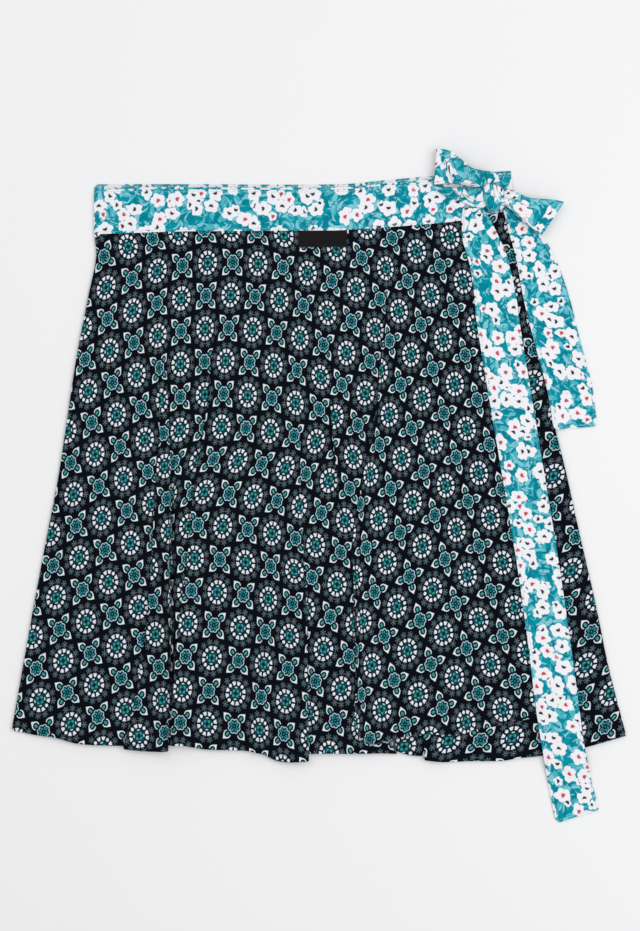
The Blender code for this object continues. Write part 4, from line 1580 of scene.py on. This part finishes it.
def bead_ring(tree, colour, cell, radius, angle):
    """A ring of round and wedge-shaped beads round a small star."""
    along, across = wedge(radius, angle, RING_BEADS, "between")
    main_x, main_y = wedge(radius, angle, 4, "on the axes")
    side_x, side_y = wedge(radius, angle, 4, "between")
    flared = across.abs() - (along - BEAD_STARTS) * BEAD_OPENS - BEAD_NARROW
    wedge_bead = ((along - RING_BEAD[0]).abs() - RING_BEAD[1]).max(flared)
    rounds = ((angle * 4).cos() + 0.5).inside(0.05)
    beads = part(RING_BEAD, along, across).inside() * rounds
    beads += wedge_bead.inside() * (rounds * -1 + 1)
    return paint_parts(tree, colour, cell, (
        (beads, "white"),
        ((radius - RING_HUB).inside(), "pine"),
        ((part(RING_EYE, side_x, side_y).abs() - EYE_LINE).inside(), "deep teal"),
        (part(RING_DROP, main_x, main_y).inside(), "pale blue"),
        (((radius - RING_STAR).abs() - STAR_HALF).inside(), "deep teal"),
        (part(RING_LEAF, side_x, side_y).inside(), "sea green"),
    ))


def four_petals(tree, colour, cell, radius, angle):
    """A flower with four pointed petals on the diagonals and a scalloped middle."""
    along, across = wedge(radius, angle, 4, "between")
    lobe_x, lobe_y = wedge(radius, angle, 8, "between")
    point = (along - PETAL_TIP) * TIP_SLANT[0] + across.abs() * TIP_SLANT[1]
    point = point.max(along * -1 + TIP_STARTS)
    leaf = (distance(along - PETAL[0], across) - PETAL[1]).min(point)
    heart = part(FLOWER_HEART, along, across)
    outline = leaf.max(heart * -1).max(along * -1 + PETAL_START)
    scallops = (distance(lobe_x - LOBE[0], lobe_y) - LOBE[1]).min(radius - FLOWER_MIDDLE)
    return paint_parts(tree, colour, cell, (
        (outline.inside(), "white"),
        (heart.inside(), "pine"),
        (part(FLOWER_DROP, along, across).inside(), "sea green"),
        (scallops.inside(), "pine"),
        ((scallops.abs() - FLOWER_LINE).inside(), "pale blue"),
        (part(FLOWER_PAIR, along, across.abs() - PAIR_APART).inside(), "lagoon"),
        ((radius - FLOWER_DOT).inside(), "sea green"),
    ))


print("beads in a ring:", RING_BEADS)

# %% [markdown]
# ## The wreath and the whole tile
#
# Tiny blossoms stand round every ring of beads, on a circle so wide that it reaches into the
# flowers' squares. In those squares the nearest ring lies next door, so the place is first folded
# over the square's axes and diagonals, and then measured from there. The parts are painted in the
# order in which they would be printed: the ground, the wreath, the ring and the flower.

# %% Draw the tile print
TILE = 32.0
PRINT_SHIFT = (6.3, -1.5)
WREATH_BLOSSOMS = 12
WREATH_RADIUS = 15.6
WREATH_DOT = (14.9, 0.5, 0.5)
BLOSSOM_REACH = 3.2
BLOSSOM_PETALS = 6


def wreath(tree, colour, flower_cell, x, y):
    """Twelve tiny blossoms round every bead ring, which also reach into the cells beside it."""
    wide, high = x.abs(), y.abs()
    far, near = wide.max(high), wide.min(high)
    ring_x = wide + (far * -1 + TILE - wide) * flower_cell
    ring_y = high + (near - high) * flower_cell
    radius, angle = distance(ring_x, ring_y), ring_y.arctan2(ring_x)
    along, across = wedge(radius, angle, WREATH_BLOSSOMS, "between")
    main_x, main_y = wedge(radius, angle, 4, "on the axes")
    blossom_x = along - WREATH_RADIUS
    turned = across.arctan2(blossom_x)
    reach = distance(blossom_x, across)
    disc = (reach - BLOSSOM_REACH).inside(0.7)
    petals = disc * ((turned * BLOSSOM_PETALS).cos() * -1 + 0.05).inside(0.7)
    for mask, tone in ((petals * 0.8, "moss"),
                       ((reach - 1.1).inside(1.2) * 0.6, "mauve"),
                       ((reach - 0.42).inside(0.4), "magenta"),
                       (part(WREATH_DOT, main_x, main_y).inside(), "magenta")):
        colour = paint(tree, colour, mask, INKS[tone])
    return colour


def tile_print(tree):
    """The whole print, read from where a point lay on the cut cloth."""
    across, down, where = read_map(tree, "cut")
    across, down = across + PRINT_SHIFT[0], down + PRINT_SHIFT[1]
    column, row = (across / TILE).floor(), (down / TILE).floor()
    ring_cell = (column + row).modulo(2.0)
    flower_cell = ring_cell * -1 + 1
    x, y = across.wrap(TILE), down.wrap(TILE)
    radius, angle = distance(x, y), y.arctan2(x)
    colour = paint(tree, INKS["night"], speckle(tree, where, 14) * 0.5, INKS["plum night"])
    colour = wreath(tree, colour, flower_cell, x, y)
    colour = bead_ring(tree, colour, ring_cell, radius, angle)
    return four_petals(tree, colour, flower_cell, radius, angle), where


print("the tile repeats every", TILE, "mm")

# %% [markdown]
# ## The print of the band
#
# The band and ties are cut from a second cloth: loose white blossoms on teal, with strokes of
# paler leaves between. Brushed flowers like these shouldn't form a grid. A Voronoi texture
# scatters one centre a cell, at random, and tells us where the nearest centre is; the blossom is
# drawn round it with a wavy edge. Each cell's random colour decides the blossom's size, how far
# it is turned and whether its heart is red or dark, so no two neighbours look the same. The
# leaves are ovals, scattered and turned in the same way.

# %% Draw the blossom print
BLOSSOM_SPACING = 17.8
BLOSSOM_SEED = 7.7
BLOSSOM_SIZE = 8.3
SPARE_SPACING = 1.25 * BLOSSOM_SPACING
SPARE_SEED = 31.3
SPARE_SIZE = 5.7
SIZE_RANGE = 1.7
SCATTER = 0.82
ALL_ROUND = 6.28
RED_SHARE = 0.36
RAGGED = 2.3
RED_HEART = (2.2, 1.65)
DARK_HEART = (2.3, 1.4)
HEART_BEND = 0.22
STROKE_BEND = 0.16
STROKE_MIDDLE = 0.55
STROKE_RANGE = 1.6
# a blossom's outline: how much it is squashed at random, and how deep its lobes are
SQUASH_RANGE = 0.44
SQUASH_LEAST = 0.8
LOBE_DEPTH = 0.26
LOBE_FROM = 0.78
VEIN_COUNT = 7
VEIN_EDGE = 0.72
VEIN_REACH = 3.4
LEAVES = (
    # spacing, seed, length and width, ink
    (13.0, 12.1, (4.4, 2.1), "leaf"),
    (10.0, 3.9, (4.0, 1.3), "mist"),
    (8.0, 21.7, (3.0, 0.42), "stalk"),
    (7.0, 44.2, (3.2, 0.36), "dark leaf"),
)


def scattered_centres(tree, where, size, seed):
    """The nearest of many scattered centres: x and y from it, and three random numbers."""
    spot = scaled(tree, where, (1 / size, 1 / size, 0.0), (seed, seed, 0.0))
    values = {"Vector": spot, "Scale": 1.0, "Randomness": SCATTER}
    cells = add_node(tree, "TexVoronoi", values)
    cells.voronoi_dimensions = "2D"
    offset = add_node(tree, "VectorMath", {0: spot, 1: cells.outputs["Position"]})
    offset.operation = "SUBTRACT"
    x, y, _ = split(tree, offset.outputs[0])
    luck = add_node(tree, "SeparateColor", {0: cells.outputs["Color"]})
    return x * size, y * size, [Term(tree, out) for out in luck.outputs[:3]]


def turned_by(x, y, turn):
    """The same place on axes that are turned by an angle."""
    return x * turn.cos() + y * turn.sin(), y * turn.cos() - x * turn.sin()


def strokes(tree, colour, where, size, seed, shape, tone):
    """Scattered leaf-shaped brush strokes, each turned and bent its own way."""
    x, y, (first, second, third) = scattered_centres(tree, where, size, seed)
    along, across = turned_by(x, y, first * ALL_ROUND)
    across = across + along * along * (third - 0.5) * STROKE_BEND
    smaller = (second - STROKE_MIDDLE) * STROKE_RANGE * shape[1]
    leaf = oval(along, across, *shape) + smaller
    return paint(tree, colour, leaf.inside(0.4), INKS[tone])


def blossoms(tree, colour, where, size, seed, biggest):
    """Blossoms with five rounded lobes, each with a small heart of one of two colours."""
    x, y, (first, second, third) = scattered_centres(tree, where, size, seed)
    turn = second * ALL_ROUND
    angle = y.arctan2(x) + turn
    ragged = speckle(tree, where, 2.9, detail=1.0, seed=seed) - 0.5
    squash = first * SQUASH_RANGE + SQUASH_LEAST
    reach = distance(x * squash, y / squash)
    lobes = (angle * 2.5).cos().abs() * LOBE_DEPTH + LOBE_FROM
    edge = reach - (third * SIZE_RANGE + (biggest - SIZE_RANGE)) * lobes - ragged * RAGGED
    shade = speckle(tree, where, 5.0, detail=1.0, seed=seed + 3)
    veins = ((angle * VEIN_COUNT).cos() - VEIN_EDGE) * -1.0
    along, across = turned_by(x, y, turn)
    along = along + ragged * 1.6
    across = across + along * along * HEART_BEND
    red = (second - RED_SHARE).inside(0.01)
    for mask, tone in ((edge.inside(0.4), "petal"),
                       (edge.inside(0.4) * shade * 0.3, "petal shade"),
                       (veins.inside(0.3) * (reach - VEIN_REACH).inside(1.2) * 0.28, "vein"),
                       (oval(along, across, *DARK_HEART).inside(0.4) * (red * -1 + 1), "slate"),
                       (oval(along, across, *RED_HEART).inside(0.5) * red, "coral")):
        colour = paint(tree, colour, mask, INKS[tone])
    return colour


def blossom_print(tree):
    """The whole print, read from where a point lay on the cut cloth."""
    _, _, where = read_map(tree, "cut")
    patches = (speckle(tree, where, 9.0, detail=1.0, seed=4.0) * -1 + 0.5).inside(0.1)
    colour = paint(tree, INKS["teal"], patches * 0.8, INKS["deep sea"])
    for size, seed, shape, tone in LEAVES:
        colour = strokes(tree, colour, where, size, seed, shape, tone)
    colour = blossoms(tree, colour, where, SPARE_SPACING, SPARE_SEED, SPARE_SIZE)
    return blossoms(tree, colour, where, BLOSSOM_SPACING, BLOSSOM_SEED, BLOSSOM_SIZE), where


print("blossoms are about", BLOSSOM_SPACING, "mm apart")

# %% [markdown]
# ## Cloth as a surface
#
# Both cloths are light and matt, with a fine plain weave: threads go over and under each other, a
# few to the millimetre. That is a bump and not geometry, because it is smaller than anything else
# here. The line of stitching near each sewn edge is a row of short dashes that press into the
# cloth, so the same material also reads the map of sewn edges. A little sheen stands for the fuzz
# on the threads.

# %% Weave, stitches and the cloth materials
THREAD = 0.55
STITCH_LENGTH = 2.6
STITCH_GAP = 0.8
STITCH_HALF = 0.3
STITCH_INK = 0.55
SKIRT_STITCH = HEM_WIDTH - 1
BAND_STITCH = 2.2
# shares of the weave, the fuzz and the stitching in the cloth's small heights
WEAVE_DEPTH = 0.25
FUZZ_DEPTH = 0.5
STITCH_DEPTH = 0.9
RELIEF = {"strength": 0.35, "deep": 0.0004}
ROUGHNESS_RANGE = 0.16
WRONG_SIDE = ink(92, 96, 104)
MATT = {"Specular IOR Level": 0.04, "Sheen Weight": 0.008, "Sheen Roughness": 0.5}


def new_surface(name):
    """A new material, its node tree and its main shader."""
    material = bpy.data.materials.new(name)
    material.use_nodes = True
    return material, material.node_tree, material.node_tree.nodes["Principled BSDF"]


def bump(tree, height, strength, deep):
    """The surface's direction, tilted by small heights; deep is in metres."""
    values = {"Height": height, "Strength": strength, "Distance": deep}
    return add_node(tree, "Bump", values).outputs[0]


def weave_height(tree, where):
    """Height of the woven threads, from 0 to 1."""
    across, down, _ = split(tree, where)
    waves = (across * (2 * pi / THREAD)).sin() * (down * (2 * pi / THREAD)).sin()
    return waves * 0.25 + 0.5


def stitches(tree, from_edge):
    """1 on the thread of the stitching, 0 beside it."""
    along, away, _ = read_map(tree, "sewn")
    dash = (along.wrap(STITCH_LENGTH + STITCH_GAP).abs() - STITCH_LENGTH / 2).inside(0.3)
    return dash * ((away - from_edge).abs() - STITCH_HALF).inside(0.2)


def cloth_material(name, draw_print, stitch_place, thread, roughness, faded=0.0):
    """A printed cloth: its print, a line of stitching, the weave, and soft variation."""
    material, tree, shader = new_surface(name)
    colour, where = draw_print(tree)
    if faded:
        colour = paint(tree, colour, speckle(tree, where, 8.0) * 0.1 + faded, WRONG_SIDE)
    seam = stitches(tree, stitch_place)
    height = weave_height(tree, where) * WEAVE_DEPTH + speckle(tree, where, 1.6) * FUZZ_DEPTH
    height -= seam * STITCH_DEPTH
    rough = speckle(tree, where, 3.0) * ROUGHNESS_RANGE + (roughness - ROUGHNESS_RANGE / 2)
    set_inputs(tree, shader, {
        "Base Color": paint(tree, colour, seam * STITCH_INK, thread),
        "Roughness": rough,
        "Normal": bump(tree, height, **RELIEF),
        **MATT,
    })
    return material


skirt_cloth = cloth_material("skirt cloth", tile_print, SKIRT_STITCH,
                             thread=ink(20, 18, 28), roughness=0.74)
skirt_inside = cloth_material("skirt cloth, wrong side", tile_print, SKIRT_STITCH,
                              thread=ink(40, 38, 48), roughness=0.8, faded=0.35)
band_cloth = cloth_material("band cloth", blossom_print, BAND_STITCH,
                            thread=ink(150, 205, 214), roughness=0.72)
band_inside = cloth_material("band cloth, wrong side", blossom_print, BAND_STITCH,
                             thread=ink(190, 214, 220), roughness=0.78, faded=0.06)
print("nodes in the skirt's cloth:", len(skirt_cloth.node_tree.nodes))

# %% [markdown]
# ## The label's tape
#
# Label tape is woven from thin shiny thread, finely ribbed, with a firm selvage along its edges.
# Black satin isn't a flat black: the ribs catch light, and here that light is also painted into
# the colour as lighter stripes along the ribs. The selvage is a little greyer.

# %% The tape material
RIB = 0.8
SELVAGE = 0.9


def tape_material():
    """A black ribbed tape with painted highlights along its ribs and a slightly greyer selvage."""
    material, tree, shader = new_surface("label tape")
    _, down, where = read_map(tree, "cut")
    _, away, _ = read_map(tree, "sewn")
    rib_relief_and_painted_highlight = (down * (2 * pi / RIB)).sin() * 0.5 + 0.5
    # painted highlight: the tape's black is painted lighter along each rib, as if the rib caught
    # the light
    colour = paint(tree, ink(12, 9, 12), rib_relief_and_painted_highlight * 0.5, ink(24, 20, 24))
    set_inputs(tree, shader, {
        "Base Color": paint(tree, colour, (away - SELVAGE).inside(0.3) * 0.7, ink(34, 30, 34)),
        "Roughness": speckle(tree, where, 1.2) * 0.2 + 0.42,
        "Specular IOR Level": 0.12,
        "Normal": bump(tree, rib_relief_and_painted_highlight + speckle(tree, where, 0.8) * 0.4, 0.5, 0.0002),
    })
    return material


label_tape = tape_material()
print("nodes in the tape:", len(label_tape.node_tree.nodes))

# %% [markdown]
# ## Dressing the pieces
#
# Every piece gets its right side and its wrong side as two material slots, in that order: a
# shell's upper faces use the first and its lower faces the second. The back lies face down, so
# its two are swapped. Then each piece is attached to the body it rides on, and the measured
# solid that it stands for is hidden.

# %% Dress the pieces
PIECES = (
    # piece, measured solid, slot, upper side, under side
    (back, "back_panel", "skirt_cloth", skirt_inside, skirt_cloth),
    (under_lap, "under_lap", "skirt_cloth", skirt_cloth, skirt_inside),
    (over_lap, "over_lap", "skirt_cloth", skirt_cloth, skirt_inside),
    (band_back, "band_back", "band_cloth", band_inside, band_cloth),
    (band_under, "band_under", "band_cloth", band_cloth, band_inside),
    (band_over, "band_over", "band_cloth", band_cloth, band_inside),
    (label, "label", "label_cloth", label_tape, label_tape),
    (gather, "band_gather", "band_cloth", band_cloth, band_cloth),
    (tie_long, "tie_long", "band_cloth", band_cloth, band_cloth),
    (tie_short, "tie_short", "band_cloth", band_cloth, band_cloth),
    (loop_left, "loop_left", "band_cloth", band_cloth, band_cloth),
    (loop_right, "loop_right", "band_cloth", band_cloth, band_cloth),
    (knot, "knot", "band_cloth", band_cloth, band_cloth),
)
for piece, solid, slot, upper, under in PIECES:
    piece.data.materials.append(upper)
    if under is not upper:
        piece.data.materials.append(under)
    else:
        piece.data.polygons.foreach_set("material_index", [0] * len(piece.data.polygons))
    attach(piece, "root")
    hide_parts(solid)
print("pieces dressed:", len(PIECES))

# %% [markdown]
# ## The cut of each piece
#
# The flared panels are parts of rings, so their cut covers well less than the rectangle that it
# fits in. The strips are cut as simple rectangles. The sizes are those of the cloth that shows
# here: a tie's hidden part inside the knot isn't counted.

print("the panels are cut from rings and the strips as rectangles")

# %% [markdown]
# ## The table
#
# The garment lies on a plain pale table top. It needs no detail, only a soft matt surface that
# takes the thin shadow under the edges, which is what tells the eye that the cloth touches it.

# %% Lay the table top
TABLE_SIZE = 6.0
TABLE_HEIGHT = -0.0002
bpy.ops.mesh.primitive_plane_add(size=TABLE_SIZE, location=(0, 0, TABLE_HEIGHT))
table_top = bpy.context.active_object
table_top.name = "table_top"
top_material, top_tree, top_shader = new_surface("pale table top")
place = top_tree.nodes.new("ShaderNodeTexCoord").outputs["Object"]
clouds = speckle(top_tree, place, 0.4) * 0.4
set_inputs(top_tree, top_shader, {
    "Base Color": paint(top_tree, ink(243, 243, 244), clouds, ink(238, 238, 240)),
    "Roughness": 0.9,
    "Specular IOR Level": 0.1,
})
table_top.data.materials.append(top_material)
print("table top, m:", TABLE_SIZE)

# %% [markdown]
# ## The light
#
# Clothes are lit softly and nearly from all round, so that the print reads evenly, but one side
# has to win a little or the folds would vanish. A very large lamp above and to the right does
# that, with a weaker one opposite and an even pale surround to fill the shadows.

# %% Hang the lamps
LAMPS = (
    # place, size, watts
    ((-1.2, 0.9, 1.9), 2.0, 11.0),
    ((1.3, 0.0, 2.0), 2.0, 25.0),
)
SURROUND = 0.58
for place_of_lamp, size, watts in LAMPS:
    lamp_data = bpy.data.lights.new("soft lamp", "AREA")
    lamp_data.size = size
    lamp_data.energy = watts
    lamp = put("soft lamp", lamp_data)
    lamp.location = place_of_lamp
    lamp.rotation_euler = (-Vector(place_of_lamp)).to_track_quat("-Z", "Y").to_euler()
world = bpy.data.worlds.new("pale surround")
world.use_nodes = True
background = world.node_tree.nodes["Background"]
background.inputs["Color"].default_value = (1.0, 1.0, 1.0, 1.0)
background.inputs["Strength"].default_value = SURROUND
bpy.context.scene.world = world
bpy.context.scene.view_settings.view_transform = "Standard"
print("lamps:", len(LAMPS))

# %% [markdown]
